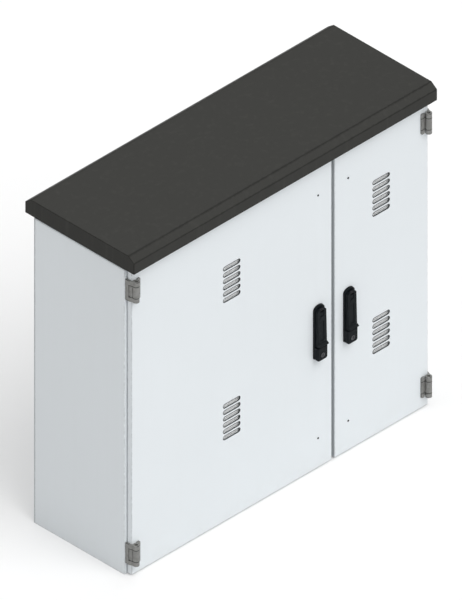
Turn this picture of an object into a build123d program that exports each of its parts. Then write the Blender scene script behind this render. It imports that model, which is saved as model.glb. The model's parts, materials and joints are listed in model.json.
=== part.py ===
"""Roadside utility cabinet with two doors, in millimetres.

The origin is the centre of the base on the ground. X runs to the right, Y to the back, Z up.
An inset is measured inwards from a body side, and a forward distance from the front of the body frame.
"""

import os
from math import cos, hypot, radians, sin, sqrt, tan

from build123d import *

os.makedirs("parts", exist_ok=True)

LEFT = -1
RIGHT = 1
SIDE_NAMES = {LEFT: "left", RIGHT: "right"}

# Body sizes
cabinet_width = 1100.0
cabinet_depth = 330.0
body_height = 964.0
sheet = 2.0
bend_radius = 2.0
corner_flange = 32.0
return_lip = 15.0
top_flange = 20.0
rail_height = 28.0
sill_height = 27.0
sill_depth = 32.0
mullion_width = 56.0
mullion_depth = 32.0
meeting_line_x = 194.65

# Plinth holes in the base flanges
plinth_hole_radius = 6.0
plinth_hole_inset = 17.0
plinth_hole_end_inset = 40.0

# Inside fittings
angle_leg = 27.0
angle_top_z = 113.0
angle_end_gap = 12.0
angle_back_gap = 3.0
cable_rail_height = 22.0
cable_rail_depth = 40.0
cable_rail_back_gap = 48.0
cable_rail_slot = 18.0
plate_thickness = 3.0
plate_gap = 30.0
plate_bottom_z = 180.0
plate_top_drop = 64.0
plate_edge_gap = 22.0
plate_corner_radius = 8.0
standoff_radius = 7.0
standoff_inset = 35.0
plate_screw_radius = 3.0
plate_screw_head_radius = 5.5
plate_screw_head_height = 4.0
plate_screw_length = 15.0
equipment_hole_radius = 3.3
equipment_spacing_x = {LEFT: 500.0, RIGHT: 160.0}
equipment_end_inset = 80.0
stud_radius = 4.0
stud_length = 25.0
stud_collar_radius = 8.0
stud_collar_length = 4.0
stud_z = 60.0

# Back panel rivets
rivets_per_side = 6
rivet_first_z = 70.0
back_rivet_radius = 2.4
back_rivet_head_radius = 4.5
back_rivet_head_height = 1.4

# Roof cap
roof_body_gap = 5.5
roof_lip_height = 34.0
roof_slope_height = 15.5
roof_slope_depth = 20.5
roof_front_overhang = 39.0
roof_back_overhang = 29.0
roof_side_overhang = 4.0
roof_hem = 9.0
roof_fold_radius = 3.0
roof_corner_radius = 1.5
roof_rail_inset = 150.0
roof_rail_top = 50.0
roof_rail_foot = 22.0
roof_rail_end_gap = 20.0
roof_bolt_radius = 4.0
roof_bolt_head_radius = 6.5
roof_bolt_head_height = 5.0
roof_bolt_length = 14.0
roof_bolt_end_inset = 35.0

# Doors
door_inset = 9.0
door_gap = 10.0
door_back_gap = 2.5
door_depth = 15.3
door_bottom_z = 3.0
door_top_gap = 1.0
door_return = 22.0
door_corner_radius = 2.0
gasket_inset = 11.0
gasket_width = 10.0
gasket_gap = 0.3

# Ventilation slots
slot_length = 60.0
slot_height = 11.0
slot_pitch = 20.0
slots_per_group = 6
slot_group_above_base = 317.0
slot_group_below_top = 212.5
cassette_wall = 1.5
cassette_depth = 10.0
cassette_side_margin = 20.0
cassette_end_margin = 16.0
cassette_rim = 14.0
cassette_bar = 8.0
mat_thickness = 4.3
mat_gap = 0.1

# Hinges
hinge_above_base = 68.0
hinge_below_top = 62.5
hinge_height = 64.0
hinge_plate_inset = 3.0
hinge_edge_gap = 0.5
hinge_lean = 20.0
hinge_knuckle_height = 14.0
hinge_web = 11.0
hinge_recess = 2.0
hinge_tip_forward = 22.5
hinge_pivot_inset = 15.5
hinge_pivot_forward = 27.2
knuckle_radius = 9.0
hinge_window_radius = 4.0
hinge_gap = 0.3
hinge_pin_radius = 5.0
hinge_pin_sink = 7.0
running_gap = 0.05
door_leaf_width = 11.2
door_leaf_thickness = 4.5
door_leaf_radius = 3.0
frame_screw_radius = 1.6
frame_screw_head_radius = 2.6
frame_screw_head_height = 3.0
frame_screw_spread = 19.0
frame_screw_bite = 8.0
door_screw_radius = 2.5
door_screw_head_radius = 4.2
door_screw_head_height = 3.0
door_screw_edge_distance = 3.5
door_screw_spread = 21.0
door_screw_bite = 3.5
screw_hole_gap = 0.2

# Swing handles
handle_edge_distance = 50.0
handle_below_spindle = 129.0
handle_height = 167.0
handle_width = 36.0
handle_plate_depth = 6.0
handle_depth = 18.0
lock_block_height = 41.0
handle_corner_radius = 7.0
handle_edge_radius = 3.0
handle_arch_flatness = 0.68
lock_radius = 7.0
lock_above_bottom = 16.0
lock_proud = 0.6
keyway_width = 2.2
keyway_length = 8.0
keyway_depth = 7.0
spindle_below_middle = 1.0
spindle_radius = 6.0
neck_radius = 10.0
neck_length = 10.0
neck_gap = 0.4
spindle_square = 8.0
handle_screw_rises = (20.0, 90.0)
handle_screw_bite = 4.0

# Levers
lever_width = 32.0
lever_block_gap = 4.0
lever_plate_gap = 0.5
lever_pin_below_top = 10.0
lever_top_radius = 4.2
lever_pin_radius = 1.75
lever_pin_length = 20.4
lever_bottom_depth = 17.6
lever_lip_depth = 24.0
lever_lip_height = 5.0
lever_lip_slope = 4.0
lever_groove_width = 12.0
lever_groove_depth = 1.3
lever_groove_margin = 8.0
lever_fork_below_pin = 8.0
lever_slot_below_spindle = 11.0
lever_slot_depth = 5.9
lever_pocket_width = 20.0
lever_pocket_depth = 6.0
lever_pocket_wall = 7.0
lever_disc_radius = 8.5
lever_disc_depth = 1.0
lever_edge_radius = 1.2
yoke_gap = 0.3
yoke_thickness = 5.0
yoke_below_spindle = 8.5

# Cam and rods
pin_offset = 9.0
cam_thickness = 5.0
cam_pin_radius = 3.0
cam_end_radius = 6.5
cam_pin_reach = 1.5
cam_gap = 1.0
rod_width = 16.0
rod_thickness = 4.5
rod_centre_offset = 11.0
rod_behind_frame = 5.0
rod_slot_gap = 0.6
rod_end_margin = 8.0
rod_rail_gap = 2.0
guide_above_base = 96.0
guide_below_top = 100.0
guide_height = 18.0
guide_wall = 2.5
guide_gap = 0.35
guide_foot = 9.0
guide_rivet_radius = 2.0
guide_rivet_head_radius = 2.9
guide_rivet_head_height = 1.3
guide_rivet_length = 10.0

# Places worked out from the sizes above
half_width = cabinet_width / 2
front_y = -cabinet_depth / 2
back_y = cabinet_depth / 2
top_under_z = body_height - sheet
rail_bottom_z = top_under_z + sheet - rail_height
back_inner_y = back_y - sheet
plinth_hole_y = back_y - plinth_hole_end_inset
cable_rail_y = back_inner_y - cable_rail_back_gap - cable_rail_depth / 2
plate_top_z = body_height - plate_top_drop
roof_lip_bottom_z = body_height + roof_body_gap
roof_rail_length = cabinet_depth - 2 * roof_rail_end_gap
roof_bolt_y = roof_rail_length / 2 - roof_bolt_end_inset
hinge_z = (hinge_above_base, body_height - hinge_below_top)
hinge_plate_back = door_inset - hinge_edge_gap
frame_screw_inset = (hinge_plate_inset + hinge_plate_back) / 2
door_leaf_start_inset = hinge_pivot_inset + knuckle_radius + hinge_gap
door_leaf_end_inset = door_leaf_start_inset + door_leaf_width
door_screw_inset = door_leaf_end_inset - door_screw_edge_distance
guide_z = (guide_above_base, body_height - guide_below_top)
slot_group_z = (slot_group_above_base, body_height - slot_group_below_top)
door_back_y = front_y - door_back_gap
door_face_y = door_back_y - door_depth
door_inner_y = door_face_y + sheet
door_top_z = body_height - door_top_gap
door_height = door_top_z - door_bottom_z
door_middle_z = (door_bottom_z + door_top_z) / 2
meeting_edge = {
    LEFT: half_width + meeting_line_x - door_gap / 2,
    RIGHT: half_width - meeting_line_x - door_gap / 2,
}
slot_inset = {side: (door_inset + meeting_edge[side]) / 2 for side in SIDE_NAMES}
handle_inset = {side: meeting_edge[side] - handle_edge_distance for side in SIDE_NAMES}
spindle_z = body_height / 2 - spindle_below_middle
handle_bottom_z = spindle_z - handle_below_spindle
handle_top_z = handle_bottom_z + handle_height
lock_z = handle_bottom_z + lock_above_bottom
lever_bottom_z = handle_bottom_z + lock_block_height + lever_block_gap
lever_back = handle_plate_depth + lever_plate_gap
lever_pin_z = handle_top_z - lever_pin_below_top
lever_pin_depth = lever_back + lever_top_radius
rod_front_y = front_y + rod_behind_frame
cam_back_y = rod_front_y - cam_gap
cam_angle = 45.0


def side_x(side, inset):
    """Give the x of an inset from the body side."""
    return side * (half_width - inset)


def top_view(side, inset, forward):
    """Give the plan point of an inset and a forward distance."""
    return (side_x(side, inset), front_y - forward)


def block(x_span, y_span, z_span, mode=Mode.ADD):
    """Add or cut a block between pairs of x, y and z values."""
    spans = [sorted(span) for span in (x_span, y_span, z_span)]
    with Locations(tuple((low + high) / 2 for low, high in spans)):
        Box(*[high - low for low, high in spans], mode=mode)


def peg(x, z, y_span, radius, mode=Mode.ADD):
    """Add or cut a round bar that runs along Y."""
    near, far = sorted(y_span)
    with BuildSketch(Plane.XZ.offset(-far)) as section:
        with Locations((x, z)):
            Circle(radius)
    extrude(section.sketch, amount=far - near, mode=mode)


def post(x, y, z_span, radius, mode=Mode.ADD):
    """Add or cut a round bar that runs along Z."""
    low, high = sorted(z_span)
    with BuildSketch(Plane.XY.offset(low)) as section:
        with Locations((x, y)):
            Circle(radius)
    extrude(section.sketch, amount=high - low, mode=mode)


def folded(plane, points, length):
    """Extrude a bent sheet from the middle line of its section."""
    with BuildSketch(plane) as section:
        with BuildLine():
            FilletPolyline(*points, radius=bend_radius)
        trace(line_width=sheet)
    extrude(section.sketch, amount=length)


def save(part, label):
    """Label a finished piece and write it."""
    part.label = label
    export_step(part, f"parts/{label}.step")


# Side panels
half_sheet = sheet / 2
front_mid_y = front_y + half_sheet
back_mid_y = back_inner_y - half_sheet
for side, side_name in SIDE_NAMES.items():
    wall_x = side_x(side, half_sheet)
    flange_x = side_x(side, corner_flange)
    lip_x = side_x(side, corner_flange - half_sheet)
    wall_line = [
        (flange_x, front_mid_y),
        (wall_x, front_mid_y),
        (wall_x, back_mid_y),
        (flange_x, back_mid_y),
    ]
    lip_line = [(lip_x, front_y + return_lip), (lip_x, front_mid_y)]
    screw_x = side_x(side, frame_screw_inset)
    with BuildPart() as side_panel:
        folded(Plane.XY, wall_line, top_under_z)
        folded(Plane.XY.offset(sill_height), lip_line + wall_line[1:], rail_bottom_z - sill_height)
        block((wall_x, flange_x), (front_mid_y, back_mid_y), (0, sheet))
        shelf_z = (top_under_z - sheet, top_under_z)
        block((wall_x, side_x(side, top_flange)), (front_mid_y, back_mid_y), shelf_z)
        for hole_y in (-plinth_hole_y, plinth_hole_y):
            hole_x = side_x(side, plinth_hole_inset)
            post(hole_x, hole_y, (-sheet, 2 * sheet), plinth_hole_radius, mode=Mode.SUBTRACT)
        for centre_z in hinge_z:
            for screw_z in (centre_z - frame_screw_spread, centre_z + frame_screw_spread):
                screw_hole = frame_screw_radius + screw_hole_gap
                peg(screw_x, screw_z, (front_y - sheet, front_y + 2 * sheet), screw_hole, mode=Mode.SUBTRACT)
    save(side_panel.part, f"side_panel_{side_name}")

# Back panel and its rivets
rivet_step = (body_height - 2 * rivet_first_z) / (rivets_per_side - 1)
rivet_inset = corner_flange / 2
rivet_places = [
    (side_x(side, rivet_inset), rivet_first_z + row * rivet_step)
    for side in SIDE_NAMES
    for row in range(rivets_per_side)
]
with BuildPart() as back_panel:
    block((-half_width, half_width), (back_inner_y, back_y), (0, top_under_z))
    for rivet_x, rivet_z in rivet_places:
        rivet_hole = back_rivet_radius + running_gap
        peg(rivet_x, rivet_z, (back_inner_y - sheet, back_y + sheet), rivet_hole, mode=Mode.SUBTRACT)
save(back_panel.part, "back_panel")

with BuildPart() as back_panel_rivets:
    for rivet_x, rivet_z in rivet_places:
        peg(rivet_x, rivet_z, (back_inner_y, back_y), back_rivet_radius)
        peg(rivet_x, rivet_z, (back_y, back_y + back_rivet_head_height), back_rivet_head_radius)
    head_rims = back_panel_rivets.faces().sort_by(Axis.Y)[-len(rivet_places):].edges()
    fillet(head_rims, back_rivet_head_height / 2)
save(back_panel_rivets.part, "back_panel_rivets")

# Roof rails stand on the body top and carry the cap
roof_lip_top_z = roof_lip_bottom_z + roof_lip_height
roof_top_z = roof_lip_top_z + roof_slope_height
roof_under_z = roof_top_z - sheet
rail_bolt_x = roof_rail_top / 2 + roof_rail_foot / 2
roof_bolt_places = [
    (side_x(side, roof_rail_inset) + shift, bolt_y)
    for side in SIDE_NAMES
    for shift in (-rail_bolt_x, rail_bolt_x)
    for bolt_y in (-roof_bolt_y, roof_bolt_y)
]
foot_z = body_height + half_sheet
crown_z = roof_under_z - half_sheet
web = roof_rail_top / 2 - half_sheet
foot_end = roof_rail_top / 2 + roof_rail_foot
with BuildPart() as roof_rails:
    for side in SIDE_NAMES:
        rail_x = side_x(side, roof_rail_inset)
        hat_line = [
            (rail_x - foot_end, foot_z),
            (rail_x - web, foot_z),
            (rail_x - web, crown_z),
            (rail_x + web, crown_z),
            (rail_x + web, foot_z),
            (rail_x + foot_end, foot_z),
        ]
        folded(Plane.XZ.offset(-roof_rail_length / 2), hat_line, roof_rail_length)
    for bolt_x, bolt_y in roof_bolt_places:
        bolt_hole = roof_bolt_radius + running_gap
        post(bolt_x, bolt_y, (body_height - sheet, body_height + 2 * sheet), bolt_hole, mode=Mode.SUBTRACT)
save(roof_rails.part, "roof_rails")

# Top panel with the front rail folded down
with BuildPart() as top_panel:
    span_x = half_width - corner_flange
    rail_line = [
        (front_y + return_lip, rail_bottom_z + half_sheet),
        (front_mid_y, rail_bottom_z + half_sheet),
        (front_mid_y, body_height - half_sheet),
        (back_y, body_height - half_sheet),
    ]
    folded(Plane.YZ.offset(-span_x), rail_line, 2 * span_x)
    for edge_x in (-half_width, span_x):
        block((edge_x, edge_x + corner_flange), (front_y, back_y), (top_under_z, body_height))
    for bolt_x, bolt_y in roof_bolt_places:
        bolt_hole = roof_bolt_radius + screw_hole_gap
        post(bolt_x, bolt_y, (top_under_z - sheet, body_height + sheet), bolt_hole, mode=Mode.SUBTRACT)
save(top_panel.part, "top_panel")

with BuildPart() as roof_bolts:
    for bolt_x, bolt_y in roof_bolt_places:
        post(bolt_x, bolt_y, (top_under_z, top_under_z + roof_bolt_length), roof_bolt_radius)
        with BuildSketch(Plane.XY.offset(top_under_z - roof_bolt_head_height)):
            with Locations((bolt_x, bolt_y)):
                RegularPolygon(roof_bolt_head_radius, 6)
        extrude(amount=roof_bolt_head_height)
save(roof_bolts.part, "roof_bolts")

# Roof cap: a folded shell, open below, with hems along its front and back lips
roof_front_y = front_y - roof_front_overhang
roof_back_y = back_y + roof_back_overhang
roof_half_width = half_width + roof_side_overhang


def roof_outline(inward):
    """Draw the cap's end outline, moved inward by a wall."""
    slope_length = hypot(roof_slope_depth, roof_slope_height)
    corner_cut = inward * (slope_length - roof_slope_height) / roof_slope_depth
    top_cut = inward * (slope_length - roof_slope_depth) / roof_slope_height
    with BuildLine() as outline:
        Polyline(
            (roof_front_y + inward, roof_lip_bottom_z),
            (roof_front_y + inward, roof_lip_top_z - corner_cut),
            (roof_front_y + roof_slope_depth + top_cut, roof_top_z - inward),
            (roof_back_y - roof_slope_depth - top_cut, roof_top_z - inward),
            (roof_back_y - inward, roof_lip_top_z - corner_cut),
            (roof_back_y - inward, roof_lip_bottom_z),
            close=True,
        )
    make_face(outline.edges())


with BuildPart() as roof_cap:
    with BuildSketch(Plane.YZ.offset(-roof_half_width)):
        roof_outline(0)
    extrude(amount=2 * roof_half_width)
    fold_edges = roof_cap.edges().filter_by(Axis.X).sort_by(Axis.Z)[2:]
    fillet(fold_edges, roof_fold_radius)
    gables = roof_cap.faces().filter_by(Axis.X)
    gable_edges = [edge for gable in gables for edge in gable.edges().sort_by(Axis.Z)[1:]]
    fillet(gable_edges, roof_corner_radius)
    with BuildSketch(Plane.YZ.offset(-roof_half_width + sheet)):
        roof_outline(sheet)
    extrude(amount=2 * (roof_half_width - sheet), mode=Mode.SUBTRACT)
    hem_span = (roof_lip_bottom_z, roof_lip_bottom_z + sheet)
    inner_x = roof_half_width - half_sheet
    block((-inner_x, inner_x), (roof_front_y + half_sheet, roof_front_y + roof_hem), hem_span)
    block((-inner_x, inner_x), (roof_back_y - roof_hem, roof_back_y - half_sheet), hem_span)
save(roof_cap.part, "roof_cap")

# Base sills and centre mullion
with BuildPart() as base_sill_front:
    sill_line = [
        (front_y + return_lip, sill_height - half_sheet),
        (front_mid_y, sill_height - half_sheet),
        (front_mid_y, half_sheet),
        (front_y + sill_depth, half_sheet),
    ]
    folded(Plane.YZ.offset(-span_x), sill_line, 2 * span_x)
save(base_sill_front.part, "base_sill_front")

with BuildPart() as base_sill_back:
    sill_line = [
        (back_mid_y, sill_height),
        (back_mid_y, half_sheet),
        (back_inner_y - sill_depth, half_sheet),
    ]
    folded(Plane.YZ.offset(-span_x), sill_line, 2 * span_x)
save(base_sill_back.part, "base_sill_back")

with BuildPart() as centre_mullion:
    leg = mullion_width / 2 - half_sheet
    mullion_line = [
        (meeting_line_x - leg, front_y + mullion_depth),
        (meeting_line_x - leg, front_mid_y),
        (meeting_line_x + leg, front_mid_y),
        (meeting_line_x + leg, front_y + mullion_depth),
    ]
    folded(Plane.XY.offset(sill_height), mullion_line, rail_bottom_z - sill_height)
save(centre_mullion.part, "centre_mullion")

# Support angles along the side walls, and the cable rail that rests on them
angle_front_y = front_y + return_lip + angle_end_gap
angle_back_y = back_mid_y - half_sheet - angle_back_gap
for side, side_name in SIDE_NAMES.items():
    leg_x = side_x(side, sheet + half_sheet)
    angle_line = [
        (leg_x, angle_top_z - angle_leg),
        (leg_x, angle_top_z - half_sheet),
        (side_x(side, sheet + angle_leg), angle_top_z - half_sheet),
    ]
    with BuildPart() as support_angle:
        folded(Plane.XZ.offset(-angle_back_y), angle_line, angle_back_y - angle_front_y)
    save(support_angle.part, f"support_angle_{side_name}")

with BuildPart() as cable_rail:
    rail_end_x = half_width - 2 * sheet
    rail_web = cable_rail_depth / 2 - half_sheet
    rail_low_z = angle_top_z + half_sheet
    rail_high_z = angle_top_z + cable_rail_height - half_sheet
    rail_section = [
        (cable_rail_y - cable_rail_slot / 2, rail_high_z),
        (cable_rail_y - rail_web, rail_high_z),
        (cable_rail_y - rail_web, rail_low_z),
        (cable_rail_y + rail_web, rail_low_z),
        (cable_rail_y + rail_web, rail_high_z),
        (cable_rail_y + cable_rail_slot / 2, rail_high_z),
    ]
    folded(Plane.YZ.offset(-rail_end_x), rail_section, 2 * rail_end_x)
save(cable_rail.part, "cable_rail")

# Mounting plates on standoffs in front of the back panel
plate_back_y = back_inner_y - plate_gap
plate_front_y = plate_back_y - plate_thickness
plate_middle_z = (plate_bottom_z + plate_top_z) / 2
equipment_spacing_z = plate_top_z - plate_bottom_z - 2 * equipment_end_inset
plate_far_x = {
    side: meeting_line_x + side * (mullion_width / 2 + plate_edge_gap) for side in SIDE_NAMES
}
standoff_places = {}
for side, side_name in SIDE_NAMES.items():
    near_x = side_x(side, corner_flange + plate_edge_gap)
    far_x = plate_far_x[side]
    plate_middle_x = (near_x + far_x) / 2
    plate_width = abs(near_x - far_x)
    standoff_dx = plate_width / 2 - standoff_inset
    standoff_dz = (plate_top_z - plate_bottom_z) / 2 - standoff_inset
    standoff_places[side] = [
        (plate_middle_x + dx, plate_middle_z + dz)
        for dx in (-standoff_dx, standoff_dx)
        for dz in (-standoff_dz, standoff_dz)
    ]
    with BuildPart() as mounting_plate:
        with BuildSketch(Plane.XZ.offset(-plate_back_y)):
            with Locations((plate_middle_x, plate_middle_z)):
                RectangleRounded(plate_width, plate_top_z - plate_bottom_z, plate_corner_radius)
                with GridLocations(equipment_spacing_x[side], equipment_spacing_z, 2, 2):
                    Circle(equipment_hole_radius, mode=Mode.SUBTRACT)
            with Locations(*standoff_places[side]):
                Circle(plate_screw_radius + screw_hole_gap, mode=Mode.SUBTRACT)
        extrude(amount=plate_thickness)
    save(mounting_plate.part, f"mounting_plate_{side_name}")

all_standoffs = standoff_places[LEFT] + standoff_places[RIGHT]
with BuildPart() as plate_standoffs:
    for stand_x, stand_z in all_standoffs:
        peg(stand_x, stand_z, (plate_back_y, back_inner_y), standoff_radius)
        screw_bore = plate_screw_radius + running_gap
        bore_y = (plate_back_y, plate_front_y + plate_screw_length)
        peg(stand_x, stand_z, bore_y, screw_bore, mode=Mode.SUBTRACT)
save(plate_standoffs.part, "plate_standoffs")

with BuildPart() as plate_screws:
    for stand_x, stand_z in all_standoffs:
        peg(stand_x, stand_z, (plate_front_y, plate_front_y + plate_screw_length), plate_screw_radius)
        head_y = (plate_front_y - plate_screw_head_height, plate_front_y)
        peg(stand_x, stand_z, head_y, plate_screw_head_radius)
save(plate_screws.part, "plate_screws")

# Earth stud, welded to the left wall with its collar
with BuildPart() as earth_stud:
    stud_x = side_x(LEFT, sheet)
    with BuildSketch(Plane.YZ.offset(stud_x)):
        with Locations((0, stud_z)):
            Circle(stud_collar_radius)
    extrude(amount=stud_collar_length)
    with BuildSketch(Plane.YZ.offset(stud_x + stud_collar_length)):
        with Locations((0, stud_z)):
            Circle(stud_radius)
    extrude(amount=stud_length)
save(earth_stud.part, "earth_stud")

# Hinges
knuckle_back = hinge_pivot_forward - knuckle_radius
knuckle_front = hinge_pivot_forward + knuckle_radius


def knuckle_view(side, angle):
    """Give the plan point of the knuckle's rim at an angle in degrees from the inward direction."""
    reach = knuckle_radius * cos(radians(angle))
    rise = knuckle_radius * sin(radians(angle))
    return top_view(side, hinge_pivot_inset + reach, hinge_pivot_forward + rise)


def frame_leaf_outline(side):
    """Draw the frame leaf in plan: a side plate that leans in to meet the knuckle."""
    touch_inset = hinge_pivot_inset - knuckle_radius * cos(radians(hinge_lean))
    touch_forward = hinge_pivot_forward - knuckle_radius * sin(radians(hinge_lean))
    lean_start = touch_forward - (touch_inset - hinge_plate_inset) / tan(radians(hinge_lean))
    with BuildLine() as outline:
        Polyline(
            knuckle_view(side, 180 + hinge_lean),
            top_view(side, hinge_plate_inset, lean_start),
            top_view(side, hinge_plate_inset, 0),
            top_view(side, hinge_plate_back, 0),
            top_view(side, hinge_plate_back, knuckle_back),
            knuckle_view(side, -90),
        )
        ThreePointArc(knuckle_view(side, -90), knuckle_view(side, 0), knuckle_view(side, 90))
        ThreePointArc(
            knuckle_view(side, 90),
            knuckle_view(side, 135 + hinge_lean / 2),
            knuckle_view(side, 180 + hinge_lean),
        )
    make_face(outline.edges())


for side, side_name in SIDE_NAMES.items():
    pivot_x, pivot_y = top_view(side, hinge_pivot_inset, hinge_pivot_forward)
    frame_screw_x = side_x(side, frame_screw_inset)
    door_screw_x = side_x(side, door_screw_inset)
    for level_name, centre_z in zip(("lower", "upper"), hinge_z):
        low_z = centre_z - hinge_height / 2
        high_z = centre_z + hinge_height / 2
        window_z = (low_z + hinge_knuckle_height, high_z - hinge_knuckle_height)
        window_height = window_z[1] - window_z[0]
        window_front_y = front_y - knuckle_front - hinge_window_radius * 2
        window_back_y = front_y - hinge_web
        bore_radius = hinge_pin_radius + running_gap

        with BuildPart() as frame_leaf:
            with BuildSketch(Plane.XY.offset(low_z)):
                frame_leaf_outline(side)
            extrude(amount=hinge_height)
            with BuildSketch(Plane.YZ.offset(side_x(side, 0))):
                with Locations(((window_front_y + window_back_y) / 2, centre_z)):
                    RectangleRounded(window_back_y - window_front_y, window_height, hinge_window_radius)
            extrude(amount=hinge_plate_inset + hinge_recess, both=True, mode=Mode.SUBTRACT)
            post(pivot_x, pivot_y, window_z, knuckle_radius + hinge_gap, mode=Mode.SUBTRACT)
            tip_x = (side_x(side, 0), pivot_x)
            block(tip_x, (window_front_y, front_y - hinge_tip_forward), window_z, mode=Mode.SUBTRACT)
            post(pivot_x, pivot_y, (low_z, high_z), bore_radius, mode=Mode.SUBTRACT)
            for screw_z in (centre_z - frame_screw_spread, centre_z + frame_screw_spread):
                screw_end_y = front_y - frame_screw_bite
                thread_radius = frame_screw_radius + running_gap
                peg(frame_screw_x, screw_z, (screw_end_y, front_y), thread_radius, mode=Mode.SUBTRACT)
        save(frame_leaf.part, f"hinge_frame_leaf_{side_name}_{level_name}")

        with BuildPart() as door_leaf:
            knuckle_z = (window_z[0] + hinge_gap, window_z[1] - hinge_gap)
            post(pivot_x, pivot_y, knuckle_z, knuckle_radius)
            link_x = (pivot_x, side_x(side, door_leaf_end_inset - door_leaf_radius))
            link_y = (front_y - knuckle_back, door_face_y - door_leaf_thickness)
            block(link_x, link_y, knuckle_z)
            with BuildSketch(Plane.XZ.offset(-door_face_y)):
                leaf_middle = side_x(side, (door_leaf_start_inset + door_leaf_end_inset) / 2)
                with Locations((leaf_middle, centre_z)):
                    leaf_width = door_leaf_end_inset - door_leaf_start_inset
                    RectangleRounded(leaf_width, hinge_height, door_leaf_radius)
            extrude(amount=door_leaf_thickness)
            post(pivot_x, pivot_y, knuckle_z, bore_radius, mode=Mode.SUBTRACT)
            for screw_z in (centre_z - door_screw_spread, centre_z + door_screw_spread):
                bite_y = door_face_y - door_screw_bite
                thread_radius = door_screw_radius + running_gap
                peg(door_screw_x, screw_z, (bite_y, door_face_y), thread_radius, mode=Mode.SUBTRACT)
        save(door_leaf.part, f"hinge_door_leaf_{side_name}_{level_name}")

    with BuildPart() as hinge_pins:
        for centre_z in hinge_z:
            pin_low_z = centre_z - hinge_height / 2 + hinge_pin_sink
            pin_high_z = centre_z + hinge_height / 2 - hinge_pin_sink
            post(pivot_x, pivot_y, (pin_low_z, pin_high_z), hinge_pin_radius)
    save(hinge_pins.part, f"hinge_pins_{side_name}")

with BuildPart() as hinge_frame_screws:
    for side in SIDE_NAMES:
        for centre_z in hinge_z:
            for screw_z in (centre_z - frame_screw_spread, centre_z + frame_screw_spread):
                screw_x = side_x(side, frame_screw_inset)
                inner_y = front_y + sheet
                peg(screw_x, screw_z, (front_y - frame_screw_bite, inner_y), frame_screw_radius)
                peg(screw_x, screw_z, (inner_y, inner_y + frame_screw_head_height), frame_screw_head_radius)
save(hinge_frame_screws.part, "hinge_frame_screws")


# Doors
def door_outline(side, margin):
    """Draw a door's outline, moved inwards by a margin."""
    hinge_x = side_x(side, door_inset + margin)
    free_x = side_x(side, meeting_edge[side] - margin)
    with Locations(((hinge_x + free_x) / 2, door_middle_z)):
        Rectangle(abs(hinge_x - free_x), door_height - 2 * margin)


def arched_outline(middle_x, z_span, width):
    """Draw an outline from the front with a flattened arch at the top, square below."""
    low_z, high_z = z_span
    arch_rise = width / 2 * handle_arch_flatness
    arch_z = high_z - arch_rise
    with Locations((middle_x, (low_z + arch_z) / 2)):
        Rectangle(width, arch_z - low_z)
    with Locations((middle_x, arch_z)):
        Ellipse(width / 2, arch_rise)


def lever_side_outline():
    """Draw the lever from the side as depth in front of the door against height."""
    face = door_face_y
    pin_y = face - lever_pin_depth
    lip_top_z = lever_bottom_z + lever_lip_height
    with BuildLine() as outline:
        Polyline(
            (face - lever_back, lever_pin_z),
            (face - lever_back, lever_bottom_z),
            (face - lever_bottom_depth, lever_bottom_z),
            (face - lever_lip_depth, lever_bottom_z + lever_lip_height / 2),
            (face - lever_lip_depth, lip_top_z),
            (face - lever_bottom_depth, lip_top_z + lever_lip_slope),
            (pin_y - lever_top_radius, lever_pin_z),
        )
        ThreePointArc(
            (pin_y - lever_top_radius, lever_pin_z),
            (pin_y, lever_pin_z + lever_top_radius),
            (face - lever_back, lever_pin_z),
        )
    make_face(outline.edges())


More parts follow.
